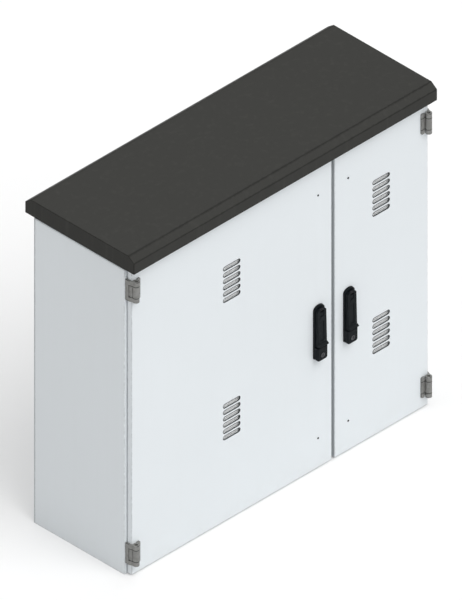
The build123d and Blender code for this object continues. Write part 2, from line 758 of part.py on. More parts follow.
for side, side_name in SIDE_NAMES.items():
    handle_x = side_x(side, handle_inset[side])
    slots_x = side_x(side, slot_inset[side])
    hinge_screw_places = [
        (side_x(side, door_screw_inset), centre_z + spread)
        for centre_z in hinge_z
        for spread in (-door_screw_spread, door_screw_spread)
    ]
    handle_screw_places = [(handle_x, handle_bottom_z + rise) for rise in handle_screw_rises]
    rod_side = -side
    upper_pin = (handle_x + rod_side * pin_offset, spindle_z + pin_offset)
    lower_pin = (handle_x - rod_side * pin_offset, spindle_z - pin_offset)
    pin_radius_of_turn = pin_offset * sqrt(2)

    # Door panel: a folded pan with slots, spindle hole and fastener holes
    with BuildPart() as door_panel:
        with BuildSketch(Plane.XZ.offset(-door_back_y)):
            door_outline(side, 0)
        extrude(amount=door_depth)
        fillet(door_panel.edges().filter_by(Axis.Y), door_corner_radius)
        fillet(door_panel.faces().sort_by(Axis.Y)[0].edges(), door_corner_radius)
        with BuildSketch(Plane.XZ.offset(-door_back_y + sheet)):
            door_outline(side, sheet)
        extrude(amount=door_depth - 2 * sheet, mode=Mode.SUBTRACT)
        with BuildSketch(Plane.XZ.offset(-door_back_y)):
            door_outline(side, door_return)
        extrude(amount=sheet, mode=Mode.SUBTRACT)
        with BuildSketch(Plane.XZ.offset(-door_inner_y - sheet)):
            for group_z in slot_group_z:
                with Locations((slots_x, group_z)):
                    with GridLocations(slot_length, slot_pitch, 1, slots_per_group):
                        SlotOverall(slot_length, slot_height)
            with Locations((handle_x, spindle_z)):
                Circle(neck_radius + neck_gap)
            with Locations(*(hinge_screw_places + handle_screw_places)):
                Circle(door_screw_radius + screw_hole_gap)
            with Locations(*[(handle_x, level_z) for level_z in guide_z]):
                Circle(guide_rivet_radius + screw_hole_gap)
        extrude(amount=3 * sheet, both=True, mode=Mode.SUBTRACT)
    save(door_panel.part, f"door_panel_{side_name}")

    with BuildPart() as door_gasket:
        with BuildSketch(Plane.XZ.offset(-front_y + gasket_gap)):
            door_outline(side, gasket_inset)
        extrude(amount=door_back_gap - gasket_gap)
        with BuildSketch(Plane.XZ.offset(-front_y + gasket_gap)):
            door_outline(side, gasket_inset + gasket_width)
        extrude(amount=door_back_gap - gasket_gap, mode=Mode.SUBTRACT)
    save(door_gasket.part, f"door_gasket_{side_name}")

    # Screws that hold the hinge leaves and the handle from inside
    with BuildPart() as door_screws:
        head_y = (door_inner_y, door_inner_y + door_screw_head_height)
        screw_rows = ((hinge_screw_places, door_screw_bite), (handle_screw_places, handle_screw_bite))
        for places, bite in screw_rows:
            for place_x, place_z in places:
                peg(place_x, place_z, (door_face_y - bite, door_inner_y), door_screw_radius)
                peg(place_x, place_z, head_y, door_screw_head_radius)
    save(door_screws.part, f"door_screws_{side_name}")

    # Handle base with its lock block and the neck that passes through the door
    with BuildPart() as handle_base:
        with BuildSketch(Plane.XZ.offset(-door_face_y)):
            arched_outline(handle_x, (handle_bottom_z, handle_top_z), handle_width)
        extrude(amount=handle_plate_depth)
        with BuildSketch(Plane.XZ.offset(-door_face_y)):
            with Locations((handle_x, handle_bottom_z + lock_block_height / 2)):
                Rectangle(handle_width, lock_block_height)
        extrude(amount=handle_depth)
        foot_corners = handle_base.edges().filter_by(Axis.Y).group_by(Axis.Z)[0]
        fillet(foot_corners, handle_corner_radius)
        fillet(handle_base.faces().sort_by(Axis.Y)[0].edges(), handle_edge_radius)
        peg(handle_x, spindle_z, (door_face_y, door_face_y + neck_length), neck_radius)
        spindle_bore = spindle_radius + running_gap
        bore_span = (door_face_y - handle_plate_depth, door_face_y + neck_length)
        peg(handle_x, spindle_z, bore_span, spindle_bore, mode=Mode.SUBTRACT)
        lock_back_y = door_face_y - handle_plate_depth
        lock_front_y = door_face_y - handle_depth
        peg(handle_x, lock_z, (lock_front_y, lock_back_y), lock_radius + running_gap, mode=Mode.SUBTRACT)
        for place_x, place_z in handle_screw_places:
            thread_radius = door_screw_radius + running_gap
            thread_y = (door_face_y - handle_screw_bite, door_face_y)
            peg(place_x, place_z, thread_y, thread_radius, mode=Mode.SUBTRACT)
    save(handle_base.part, f"handle_base_{side_name}")

    with BuildPart() as lock_barrel:
        barrel_front_y = lock_front_y - lock_proud
        peg(handle_x, lock_z, (barrel_front_y, lock_back_y), lock_radius)
        fillet(lock_barrel.faces().sort_by(Axis.Y)[0].edges(), lock_proud / 2)
        keyway_z = (lock_z - keyway_length / 2, lock_z + keyway_length / 2)
        keyway_x = (handle_x - keyway_width / 2, handle_x + keyway_width / 2)
        block(keyway_x, (barrel_front_y, barrel_front_y + keyway_depth), keyway_z, mode=Mode.SUBTRACT)
    save(lock_barrel.part, f"lock_barrel_{side_name}")

    # Lever: a tapered grip with a finger lip, forked at the top round the spindle's yoke
    with BuildPart() as lever:
        with BuildSketch(Plane.YZ.offset(handle_x - lever_width / 2)):
            lever_side_outline()
        extrude(amount=lever_width)
        front_wall = lever.faces().filter_by(lambda face: face.normal_at().Y < 0).sort_by(SortBy.AREA)[-1]
        long_edges = front_wall.edges().sort_by(SortBy.LENGTH)[-2:]
        fillet(long_edges, lever_edge_radius)
        with BuildSketch(Plane.XZ.offset(-door_face_y)):
            arched_outline(handle_x, (lever_bottom_z, lever_pin_z + lever_top_radius), lever_width)
        extrude(amount=lever_lip_depth * 2, mode=Mode.INTERSECT)
        slot_x = (handle_x - lever_groove_width / 2, handle_x + lever_groove_width / 2)
        slot_back_y = door_face_y - lever_back
        slot_low_z = spindle_z - lever_slot_below_spindle
        slot_y = (slot_back_y - lever_slot_depth, slot_back_y)
        block(slot_x, slot_y, (slot_low_z, handle_top_z), mode=Mode.SUBTRACT)
        fork_z = (lever_pin_z - lever_fork_below_pin, handle_top_z)
        block(slot_x, (door_face_y - lever_lip_depth, slot_back_y), fork_z, mode=Mode.SUBTRACT)
        pocket_x = (handle_x - lever_pocket_width / 2, handle_x + lever_pocket_width / 2)
        pocket_z = (lever_bottom_z + lever_pocket_wall, slot_low_z - lever_pocket_wall)
        block(pocket_x, (slot_back_y - lever_pocket_depth, slot_back_y), pocket_z, mode=Mode.SUBTRACT)
        groove_low_z = lever_bottom_z + lever_lip_height + lever_lip_slope + lever_groove_margin
        groove_tilt = lever_bottom_depth - lever_pin_depth - lever_top_radius
        groove_rise = lever_pin_z - lever_bottom_z - lever_lip_height - lever_lip_slope
        front_at_foot = lever_bottom_depth - groove_tilt * lever_groove_margin / groove_rise
        front_at_fork = lever_pin_depth + lever_top_radius + groove_tilt * lever_fork_below_pin / groove_rise
        with BuildSketch(Plane.YZ.offset(slot_x[0])):
            with BuildLine():
                Polyline(
                    (door_face_y - lever_lip_depth, groove_low_z),
                    (door_face_y - front_at_foot + lever_groove_depth, groove_low_z),
                    (door_face_y - front_at_fork + lever_groove_depth, fork_z[0]),
                    (door_face_y - lever_lip_depth, fork_z[0]),
                    close=True,
                )
            make_face()
        extrude(amount=lever_groove_width, mode=Mode.SUBTRACT)
        disc_front = front_at_fork + lever_disc_depth
        disc_back_y = slot_back_y - lever_slot_depth
        peg(handle_x, spindle_z, (door_face_y - disc_front, disc_back_y), lever_disc_radius)
        with BuildSketch(Plane.YZ.offset(handle_x - lever_width / 2)):
            with Locations((door_face_y - lever_pin_depth, lever_pin_z)):
                Circle(lever_pin_radius + running_gap)
        extrude(amount=lever_width, mode=Mode.SUBTRACT)
    save(lever.part, f"lever_{side_name}")

    with BuildPart() as lever_pin:
        with BuildSketch(Plane.YZ.offset(handle_x - lever_pin_length / 2)):
            with Locations((door_face_y - lever_pin_depth, lever_pin_z)):
                Circle(lever_pin_radius)
        extrude(amount=lever_pin_length)
    save(lever_pin.part, f"lever_pin_{side_name}")

    # Spindle with the flat yoke that carries the lever pin
    with BuildPart() as spindle:
        yoke_width = lever_groove_width - 2 * yoke_gap
        yoke_x = (handle_x - yoke_width / 2, handle_x + yoke_width / 2)
        yoke_y = (door_face_y - lever_back - yoke_thickness, door_face_y - lever_back)
        block(yoke_x, yoke_y, (spindle_z - yoke_below_spindle, lever_pin_z))
        with BuildSketch(Plane.YZ.offset(yoke_x[0])):
            with Locations((door_face_y - lever_pin_depth, lever_pin_z)):
                Circle(lever_top_radius)
        extrude(amount=yoke_width)
        square_start_y = door_face_y + neck_length
        peg(handle_x, spindle_z, (yoke_y[1], square_start_y), spindle_radius)
        half_square = spindle_square / 2
        square_x = (handle_x - half_square, handle_x + half_square)
        block(square_x, (square_start_y, cam_back_y), (spindle_z - half_square, spindle_z + half_square))
        with BuildSketch(Plane.YZ.offset(yoke_x[0])):
            with Locations((door_face_y - lever_pin_depth, lever_pin_z)):
                Circle(lever_pin_radius + running_gap)
        extrude(amount=yoke_width, mode=Mode.SUBTRACT)
    save(spindle.part, f"spindle_{side_name}")

    # Cam with its two rod pins
    with BuildPart() as cam:
        with BuildSketch(Plane.XZ.offset(-cam_back_y)):
            with Locations((handle_x, spindle_z)):
                SlotCenterToCenter(2 * pin_radius_of_turn, 2 * cam_end_radius, rotation=rod_side * cam_angle)
                Circle(cam_end_radius + spindle_square / 2)
                square_hole = spindle_square + 2 * running_gap
                Rectangle(square_hole, square_hole, mode=Mode.SUBTRACT)
        extrude(amount=cam_thickness)
        for pin_x, pin_z in (upper_pin, lower_pin):
            pin_end_y = rod_front_y + rod_thickness + cam_pin_reach
            peg(pin_x, pin_z, (cam_back_y, pin_end_y), cam_pin_radius)
    save(cam.part, f"cam_{side_name}")

    # Rods: flat bars with a cross slot for the cam pin
    rod_slot_height = 2 * (cam_pin_radius + rod_slot_gap)
    rod_slot_length = pin_radius_of_turn - pin_offset + rod_slot_height
    slot_shift = (pin_radius_of_turn + pin_offset) / 2
    rod_upper_top_z = rail_bottom_z - rod_rail_gap
    rod_lower_bottom_z = sill_height + rod_rail_gap
    rods = {
        "rod_upper": (rod_side, upper_pin[1], upper_pin[1] - rod_end_margin, rod_upper_top_z),
        "rod_lower": (-rod_side, lower_pin[1], rod_lower_bottom_z, lower_pin[1] + rod_end_margin),
    }
    for rod_name, (lean, pin_level_z, rod_low_z, rod_high_z) in rods.items():
        rod_x = handle_x + lean * rod_centre_offset
        with BuildPart() as rod:
            with BuildSketch(Plane.XZ.offset(-rod_front_y - rod_thickness)):
                with Locations((rod_x, (rod_low_z + rod_high_z) / 2)):
                    Rectangle(rod_width, rod_high_z - rod_low_z)
                with Locations((handle_x + lean * slot_shift, pin_level_z)):
                    SlotOverall(rod_slot_length, rod_slot_height, mode=Mode.SUBTRACT)
            extrude(amount=rod_thickness)
            tip_edges = rod.edges().filter_by(Axis.Y).filter_by(GeomType.LINE)
            fillet(tip_edges, rod_width / 5)
        save(rod.part, f"{rod_name}_{side_name}")

    # Guides riveted to the door skin, the lower one for the lower rod
    guide_back_y = rod_front_y + rod_thickness + guide_gap + guide_wall
    with BuildPart() as rod_guides:
        for level_z, lean in zip(guide_z, (-rod_side, rod_side)):
            rod_x = handle_x + lean * rod_centre_offset
            clear_half = rod_width / 2 + guide_gap
            guide_x = (handle_x - lean * guide_foot, rod_x + lean * (clear_half + guide_wall))
            guide_levels = (level_z - guide_height / 2, level_z + guide_height / 2)
            block(guide_x, (door_inner_y, guide_back_y), guide_levels)
            passage_x = (rod_x - clear_half, rod_x + clear_half)
            passage_y = (rod_front_y - guide_gap, rod_front_y + rod_thickness + guide_gap)
            block(passage_x, passage_y, guide_levels, mode=Mode.SUBTRACT)
            rivet_bore = guide_rivet_radius + running_gap
            rivet_end_y = door_inner_y + guide_rivet_length
            peg(handle_x, level_z, (door_inner_y, rivet_end_y), rivet_bore, mode=Mode.SUBTRACT)
    save(rod_guides.part, f"rod_guides_{side_name}")

    with BuildPart() as rod_guide_rivets:
        for level_z in guide_z:
            peg(handle_x, level_z, (door_face_y, door_inner_y + guide_rivet_length), guide_rivet_radius)
            head_y = (door_face_y - guide_rivet_head_height, door_face_y)
            peg(handle_x, level_z, head_y, guide_rivet_head_radius)
        fillet(rod_guide_rivets.faces().sort_by(Axis.Y)[:2].edges(), guide_rivet_head_height / 2)
    save(rod_guide_rivets.part, f"rod_guide_rivets_{side_name}")

    # Filter mats behind the slots, each held by an open-backed cassette
    mat_width = slot_length + 2 * cassette_side_margin
    mat_height = (slots_per_group - 1) * slot_pitch + slot_height + 2 * cassette_end_margin
    cassette_back_y = door_inner_y + cassette_depth
    with BuildPart() as vent_cassettes:
        for group_z in slot_group_z:
            walls = ((door_inner_y, cassette_back_y), cassette_wall, Mode.ADD)
            hollow = ((door_inner_y, cassette_back_y - cassette_wall), 0, Mode.SUBTRACT)
            window = ((cassette_back_y - cassette_wall, cassette_back_y), -cassette_rim, Mode.SUBTRACT)
            for y_span, grow, mode in (walls, hollow, window):
                x_span = (slots_x - mat_width / 2 - grow, slots_x + mat_width / 2 + grow)
                z_span = (group_z - mat_height / 2 - grow, group_z + mat_height / 2 + grow)
                block(x_span, y_span, z_span, mode=mode)
            bar_x = (slots_x - mat_width / 2, slots_x + mat_width / 2)
            bar_z = (group_z - cassette_bar / 2, group_z + cassette_bar / 2)
            block(bar_x, (cassette_back_y - cassette_wall, cassette_back_y), bar_z)
    save(vent_cassettes.part, f"vent_cassettes_{side_name}")

    with BuildPart() as filter_mats:
        for group_z in slot_group_z:
            half_x = mat_width / 2 - mat_gap
            half_z = mat_height / 2 - mat_gap
            mat_back_y = cassette_back_y - cassette_wall - mat_gap
            y_span = (mat_back_y - mat_thickness, mat_back_y)
            block((slots_x - half_x, slots_x + half_x), y_span, (group_z - half_z, group_z + half_z))
    save(filter_mats.part, f"filter_mats_{side_name}")
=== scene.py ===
"""Looks of the roadside utility cabinet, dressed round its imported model.

Everything is in metres in the model's own frame: X to the right, Y to the back, Z up, with the origin
at the centre of the base on the ground. The doors are on the -Y side.
"""

import json
import logging
from dataclasses import dataclass
from enum import Enum
from functools import cache
from math import cos, pi, radians

import bpy
import numpy as np
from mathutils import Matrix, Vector

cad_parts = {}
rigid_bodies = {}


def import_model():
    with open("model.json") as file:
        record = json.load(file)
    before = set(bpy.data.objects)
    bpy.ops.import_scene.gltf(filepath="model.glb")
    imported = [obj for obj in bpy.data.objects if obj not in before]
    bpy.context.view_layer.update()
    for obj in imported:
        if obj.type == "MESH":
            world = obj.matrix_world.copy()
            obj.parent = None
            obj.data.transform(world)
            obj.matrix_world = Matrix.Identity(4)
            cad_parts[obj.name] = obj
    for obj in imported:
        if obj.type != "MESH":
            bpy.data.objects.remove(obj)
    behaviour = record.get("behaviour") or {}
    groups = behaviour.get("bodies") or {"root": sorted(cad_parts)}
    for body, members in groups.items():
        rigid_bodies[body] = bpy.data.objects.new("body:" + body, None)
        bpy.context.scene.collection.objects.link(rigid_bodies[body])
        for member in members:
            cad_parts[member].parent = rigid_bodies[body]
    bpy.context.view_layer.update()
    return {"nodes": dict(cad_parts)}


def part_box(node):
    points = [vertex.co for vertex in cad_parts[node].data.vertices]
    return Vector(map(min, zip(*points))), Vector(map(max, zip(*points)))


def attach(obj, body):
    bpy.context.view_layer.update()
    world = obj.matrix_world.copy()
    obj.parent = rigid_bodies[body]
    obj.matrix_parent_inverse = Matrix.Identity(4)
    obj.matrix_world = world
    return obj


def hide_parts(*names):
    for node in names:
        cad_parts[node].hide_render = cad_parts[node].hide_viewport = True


for start_object in list(bpy.data.objects):
    bpy.data.objects.remove(start_object)
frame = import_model()

log = logging.getLogger("cabinet")

Colour = tuple[float, float, float]
Point = tuple[float, float, float]
Array = np.ndarray
Span = tuple[float, float]
Box = tuple[Vector, Vector]
Socket = bpy.types.NodeSocket
Group = bpy.types.ShaderNodeTree
Outputs = bpy.types.NodeOutputs
Material = bpy.types.Material
Piece = bpy.types.Object

MM = 0.001
FULL_TURN = 2 * pi

# Numbers of a Mix node's colour sockets, because its other kinds of data have sockets of the same names.
MIX_FACTOR = 0
MIX_FIRST = 6
MIX_SECOND = 7
MIX_RESULT = 2


class Side(Enum):
    """The two doors, with the sign of X towards their hinges."""

    LEFT = -1
    RIGHT = 1

    @property
    def word(self) -> str:
        """The side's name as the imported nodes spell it."""
        return self.name.lower()


class Facing(Enum):
    """The way that the head of a screw looks, as the sign along Y."""

    FRONT = -1
    BACK = 1


# Surfaces


@dataclass(frozen=True)
class GridSurface:
    """Closed profiles carried along a path, given as a grid of points.

    The points have the shape (copies, rows, columns, 3). A row is one closed profile, and the rows follow
    the path.
    """

    points: Array
    loops: bool = False

    def faces(self) -> list[list[int]]:
        """Number the faces of every copy.

        Returns:
            The quads between neighbouring rows, and a cap at each end of a path that doesn't loop.
        """
        copies, rows, columns, _ = self.points.shape
        steps = np.arange(rows if self.loops else rows - 1)
        row, column = np.meshgrid(steps, np.arange(columns), indexing="ij")
        next_row = (row + 1) % rows
        next_column = (column + 1) % columns
        corners = ((row, column), (row, next_column), (next_row, next_column), (next_row, column))
        quads = np.stack([r * columns + c for r, c in corners], axis=-1).reshape(-1, 4)
        rim = np.arange(columns)
        ends = np.stack([rim[::-1], rim + (rows - 1) * columns])
        caps = ends[:0] if self.loops else ends
        if self.signed_volume(quads, caps) < 0:
            quads = quads[:, ::-1]
            caps = caps[:, ::-1]
        shift = (np.arange(copies) * rows * columns)[:, None, None]
        every_quad = (quads[None] + shift).reshape(-1, 4)
        every_cap = (caps[None] + shift).reshape(-1, columns)
        return every_quad.tolist() + every_cap.tolist()

    def signed_volume(self, quads: Array, caps: Array) -> float:
        """Add up the tetrahedra between the middle and each triangle, which is positive if faces point out.

        Args:
            quads: Corner numbers of the quads of one copy.
            caps: Corner numbers of its end caps.

        Returns:
            The volume of the first copy, with its sign.
        """
        corners = self.points[0].reshape(-1, 3)
        corners = corners - corners.mean(axis=0)
        fans = [quads[:, [0, 1, 2]], quads[:, [0, 2, 3]]]
        for cap in caps:
            fans.append(np.stack([np.full(len(cap) - 2, cap[0]), cap[1:-1], cap[2:]], axis=-1))
        a, b, c = (corners[np.concatenate(fans)[:, k]] for k in range(3))
        return float(np.einsum("ij,ij->i", a, np.cross(b, c)).sum() / 6)

    def mesh(self, name: str, crease: float) -> Piece:
        """Make the surface a mesh object at the origin.

        Args:
            name: The piece's name.
            crease: Angle in degrees above which an edge stays sharp.

        Returns:
            The new object, linked to the scene.
        """
        data = bpy.data.meshes.new(name)
        data.from_pydata(self.points.reshape(-1, 3).tolist(), [], self.faces())
        data.polygons.foreach_set("use_smooth", np.ones(len(data.polygons), bool))
        data.set_sharp_from_angle(angle=radians(crease))
        data.update()
        piece = bpy.data.objects.new(name, data)
        bpy.context.scene.collection.objects.link(piece)
        return piece


def full_circle(segments: int) -> Array:
    """Divide a full turn into equal angles, the last of which stops short of the first."""
    return np.linspace(0, FULL_TURN, segments, endpoint=False)


def turned(radii: Array, heights: Array, angles: Array, facing: Facing) -> Array:
    """Turn a profile about the Y axis.

    A point is (radius times cosine, sign times height, radius times sine) of its angle.

    Args:
        radii: Radius at each row and angle, with the shape (rows, columns).
        heights: Height along the axis of each row.
        angles: Angle of each column.
        facing: The way in which the heights grow.

    Returns:
        Points with the shape (rows, columns, 3).
    """
    along = np.broadcast_to(facing.value * heights[:, None], radii.shape)
    return np.stack([radii * np.cos(angles), along, radii * np.sin(angles)], axis=-1)


def hexagon(angles: Array) -> Array:
    """Radius of a hexagon with unit corners: cos 30 over the cosine of the angle from a flat's middle."""
    return cos(pi / 6) / np.cos(np.mod(angles, pi / 3) - pi / 6)


def rounded_loop(centre: Array, half: Array, radius: float, steps: int) -> tuple[Array, Array]:
    """Follow a rectangle with rounded corners in the XZ plane.

    Each corner is a quarter circle: its centre plus the radius times (cosine, sine).

    Args:
        centre: Middle of the rectangle as (x, z).
        half: Half its width and height.
        radius: Radius of the corners.
        steps: Points in each corner.

    Returns:
        The points of the loop and its outward directions, both with the shape (4 * steps, 2).
    """
    quarter = np.linspace(0, pi / 2, steps)
    angles = (np.arange(4)[:, None] * pi / 2 + quarter).ravel()
    signs = np.repeat(np.array([[1, 1], [-1, 1], [-1, -1], [1, -1]]), steps, axis=0)
    outward = np.stack([np.cos(angles), np.sin(angles)], axis=-1)
    return centre + signs * (half - radius) + radius * outward, outward


def swept(loop: Array, outward: Array, across: Array, depths: Array) -> Array:
    """Carry a profile round a loop in the XZ plane.

    A point is the loop's point plus its outward direction times the profile's reach, at the profile's depth.

    Args:
        loop: Points of the loop as (x, z).
        outward: Outward direction at each of them.
        across: How far each point of the profile lies outside the loop.
        depths: The y of each point of the profile.

    Returns:
        One copy of a grid with the shape (1, rows, columns, 3).
    """
    plan = loop[:, None, :] + across[None, :, None] * outward[:, None, :]
    depth = np.broadcast_to(depths, plan.shape[:2])
    return np.stack([plan[..., 0], depth, plan[..., 1]], axis=-1)[None]


def split_places(values: Array, gap: float) -> Array:
    """Number the groups of values that lie further apart than a gap.

    Args:
        values: Coordinates along one axis, in any order.
        gap: Smallest distance between two groups.

    Returns:
        The number of each value's group.
    """
    order = np.argsort(values)
    labels = np.empty(len(values), int)
    labels[order] = np.concatenate([[0], np.cumsum(np.diff(values[order]) > gap)])
    return labels


def bar_places(node: str, gap: float) -> Array:
    """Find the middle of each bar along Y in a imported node, from how its corners gather in X and Z.

    Args:
        node: Name of a node that holds several bars.
        gap: Smallest distance between two bars.

    Returns:
        The x and z of each bar's axis, with the shape (bars, 2).
    """
    data = frame["nodes"][node].data
    corners = np.empty(len(data.vertices) * 3)
    data.vertices.foreach_get("co", corners)
    spots = corners.reshape(-1, 3)[:, [0, 2]]
    labels = np.stack([split_places(spots[:, k], gap) for k in range(2)], axis=-1)
    pairs, member = np.unique(labels, axis=0, return_inverse=True)
    member = member.ravel()
    groups = [spots[member == k] for k in range(len(pairs))]
    return np.array([(g.min(axis=0) + g.max(axis=0)) / 2 for g in groups])


# Node wiring


class Wiring:
    """Adds nodes to a tree and joins them."""

    def __init__(self, tree: bpy.types.NodeTree) -> None:
        """Start on an empty tree.

        Args:
            tree: The tree to fill.
        """
        self.tree = tree
        tree.nodes.clear()

    def fill(self, node: bpy.types.Node, inputs: dict) -> None:
        """Join sockets to a node's inputs, or give them values.

        Args:
            node: The node.
            inputs: Sockets or values, by the input's name or number.
        """
        for key, value in inputs.items():
            if isinstance(value, Socket):
                self.tree.links.new(value, node.inputs[key])
            else:
                node.inputs[key].default_value = value

    def add(self, kind: str, inputs: dict | None = None, **settings: object) -> bpy.types.Node:
        """Add a node.

        Args:
            kind: The node's type.
            inputs: Sockets or values, by the input's name or number.
            settings: Values for its properties.

        Returns:
            The new node.
        """
        node = self.tree.nodes.new(kind)
        for name, value in settings.items():
            setattr(node, name, value)
        self.fill(node, inputs or {})
        return node

    def math(self, operation: str, *values: object, clamp: bool = False) -> Socket:
        """Work out one number from others."""
        inputs = dict(enumerate(values))
        return self.add("ShaderNodeMath", inputs, operation=operation, use_clamp=clamp).outputs[0]

    def vector(self, operation: str, *values: object) -> Socket:
        """Work out one vector from others."""
        return self.add("ShaderNodeVectorMath", dict(enumerate(values)), operation=operation).outputs[0]

    def parts(self, vector: Socket) -> Outputs:
        """Take a vector apart into X, Y and Z."""
        return self.add("ShaderNodeSeparateXYZ", {"Vector": vector}).outputs

    def ramp(self, value: Socket, low: float, high: float, start: float = 0.0, end: float = 1.0) -> Socket:
        """Map a span of a value smoothly onto another span.

        Args:
            value: The socket to read.
            low: Value that gives start.
            high: Value that gives end.
            start: Result at and below low.
            end: Result at and above high.

        Returns:
            The result's socket.
        """
        inputs = {"Value": value, "From Min": low, "From Max": high, "To Min": start, "To Max": end}
        return self.add("ShaderNodeMapRange", inputs, interpolation_type="SMOOTHSTEP").outputs["Result"]

    def blend(self, factor: Socket, first: object, second: object) -> Socket:
        """Mix two colours."""
        inputs = {MIX_FACTOR: factor, MIX_FIRST: first, MIX_SECOND: second}
        return self.add("ShaderNodeMix", inputs, data_type="RGBA").outputs[MIX_RESULT]

    def place(self) -> Socket:
        """The place on the piece, in metres."""
        return self.add("ShaderNodeTexCoord").outputs["Object"]

    def noise(self, where: Socket, scale: object, detail: float, roughness: float) -> Socket:
        """Soft noise from 0 to 1."""
        inputs = {"Vector": where, "Scale": scale, "Detail": detail, "Roughness": roughness}
        return self.add("ShaderNodeTexNoise", inputs).outputs["Fac"]

    def cells(self, where: Socket, scale: Socket) -> Outputs:
        """Closed cells, with the distance from each one's middle and a colour of its own."""
        return self.add("ShaderNodeTexVoronoi", {"Vector": where, "Scale": scale}).outputs

    def use(self, effect: Group, inputs: dict) -> Outputs:
        """Place a shared effect."""
        return self.add("ShaderNodeGroup", inputs, node_tree=effect).outputs


class Effect(Wiring):
    """The tree of a node group that several materials share."""

    def __init__(self, name: str, inputs: dict[str, str], outputs: tuple[str, ...]) -> None:
        """Start the group with its sockets.

        Args:
            name: The effect's name.
            inputs: The kind of each input, by its name.
            outputs: Names of its outputs, which are numbers.
        """
        super().__init__(bpy.data.node_groups.new(name, "ShaderNodeTree"))
        for way, sockets in (("INPUT", inputs), ("OUTPUT", dict.fromkeys(outputs, "Float"))):
            for socket_name, kind in sockets.items():
                self.tree.interface.new_socket(socket_name, in_out=way, socket_type=f"NodeSocket{kind}")
        self.given = self.add("NodeGroupInput").outputs
        self.result = self.add("NodeGroupOutput")

    def give(self, outputs: dict[str, Socket]) -> Group:
        """Join what was worked out to the group's outputs, which finishes it."""
        self.fill(self.result, outputs)
        return self.tree


class Coating(Wiring):
    """The tree of a material, with its shader joined to the output."""

    def __init__(self, name: str) -> None:
        """Start the material.

        Args:
            name: The material's name.
        """
        self.material = bpy.data.materials.new(name)
        self.material.use_nodes = True
        super().__init__(self.material.node_tree)
        self.shader = self.add("ShaderNodeBsdfPrincipled")
        self.add("ShaderNodeOutputMaterial", {"Surface": self.shader.outputs["BSDF"]})

    def set(self, inputs: dict[str, object]) -> None:
        """Join sockets to the shader's inputs, or give them values."""
        self.fill(self.shader, inputs)

    def emboss(self, height: Socket, strength: float, distance: float) -> None:
        """Raise and sink the surface by a height, in its normal."""
        bump = self.add("ShaderNodeBump", {"Height": height, "Strength": strength, "Distance": distance})
        self.set({"Normal": bump.outputs["Normal"]})


# Shared effects


@cache
def paint_grain() -> Group:
    """Powder coat: fine pebbles of the cured powder, with a slow drift of its tone.

    Returns:
        The finished group.
    """
    w = Effect("paint_grain", {"Pebble Scale": "Float", "Drift Scale": "Float"}, ("Height", "Tone"))
    place = w.place()
    pebbles = w.noise(place, w.given["Pebble Scale"], detail=3.0, roughness=0.55)
    drift = w.noise(place, w.given["Drift Scale"], detail=4.0, roughness=0.6)
    return w.give({"Height": pebbles, "Tone": w.ramp(drift, low=0.3, high=0.7)})


@cache
def ground_dust() -> Group:
    """Dust that splashes up from the ground and fades out at a height, in soft patches.

    Returns:
        The finished group.
    """
    w = Effect("ground_dust", {"Reach": "Float", "Patch Scale": "Float"}, ("Mask",))
    place = w.place()
    share = w.math("SUBTRACT", 1.0, w.math("DIVIDE", w.parts(place)["Z"], w.given["Reach"]), clamp=True)
    patches = w.noise(place, w.given["Patch Scale"], detail=5.0, roughness=0.65)
    fade = w.math("POWER", share, 2.0)
    return w.give({"Mask": w.math("MULTIPLY", fade, w.ramp(patches, low=0.3, high=0.75))})


@cache
def rain_streaks() -> Group:
    """Faint upright streaks that rain leaves: noise drawn out along Z.

    Returns:
        The finished group.
    """
    w = Effect("rain_streaks", {"Streak Scale": "Float"}, ("Mask",))
    drawn_out = w.vector("MULTIPLY", w.place(), (1.0, 1.0, 0.04))
    streaks = w.noise(drawn_out, w.given["Streak Scale"], detail=3.0, roughness=0.6)
    return w.give({"Mask": w.ramp(streaks, low=0.5, high=0.75)})


@cache
def edge_band() -> Group:
    """A band along the edges of a box whose front and back top edges may be sloped off.

    At an edge, the second smallest of the distances to the box's faces is small. With a and c the smaller of
    the distances along X and Y and along Z and to the slope, and b and d the larger ones, it is the least of
    b, d and the larger of a and c. The slope is the plane through its lowest and highest line.

    Returns:
        The finished group.
    """
    sizes = dict.fromkeys(("Slope Run", "Slope Drop", "Width"), "Float")
    w = Effect("edge_band", {"Low": "Vector", "High": "Vector", **sizes}, ("Mask",))
    place = w.place()
    from_high = w.vector("SUBTRACT", w.given["High"], place)
    nearest = w.parts(w.vector("MINIMUM", w.vector("SUBTRACT", place, w.given["Low"]), from_high))
    run = w.given["Slope Run"]
    drop = w.given["Slope Drop"]
    along = w.math("SUBTRACT", w.math("DIVIDE", nearest["Y"], run), 1.0)
    slanted = w.math("ABSOLUTE", w.math("ADD", along, w.math("DIVIDE", w.parts(from_high)["Z"], drop)))
    inverse = w.math("SQRT", w.math("ADD", w.math("POWER", run, -2.0), w.math("POWER", drop, -2.0)))
    slope = w.math("DIVIDE", slanted, inverse)
    a = w.math("MINIMUM", nearest["X"], nearest["Y"])
    b = w.math("MAXIMUM", nearest["X"], nearest["Y"])
    c = w.math("MINIMUM", nearest["Z"], slope)
    d = w.math("MAXIMUM", nearest["Z"], slope)
    distance = w.math("MINIMUM", w.math("MAXIMUM", a, c), w.math("MINIMUM", b, d))
    wear = w.noise(place, scale=90.0, detail=4.0, roughness=0.7)
    width = w.math("MULTIPLY", w.given["Width"], w.ramp(wear, low=0.2, high=0.8, start=0.3, end=1.4))
    return w.give({"Mask": w.math("SUBTRACT", 1.0, w.math("DIVIDE", distance, width), clamp=True)})


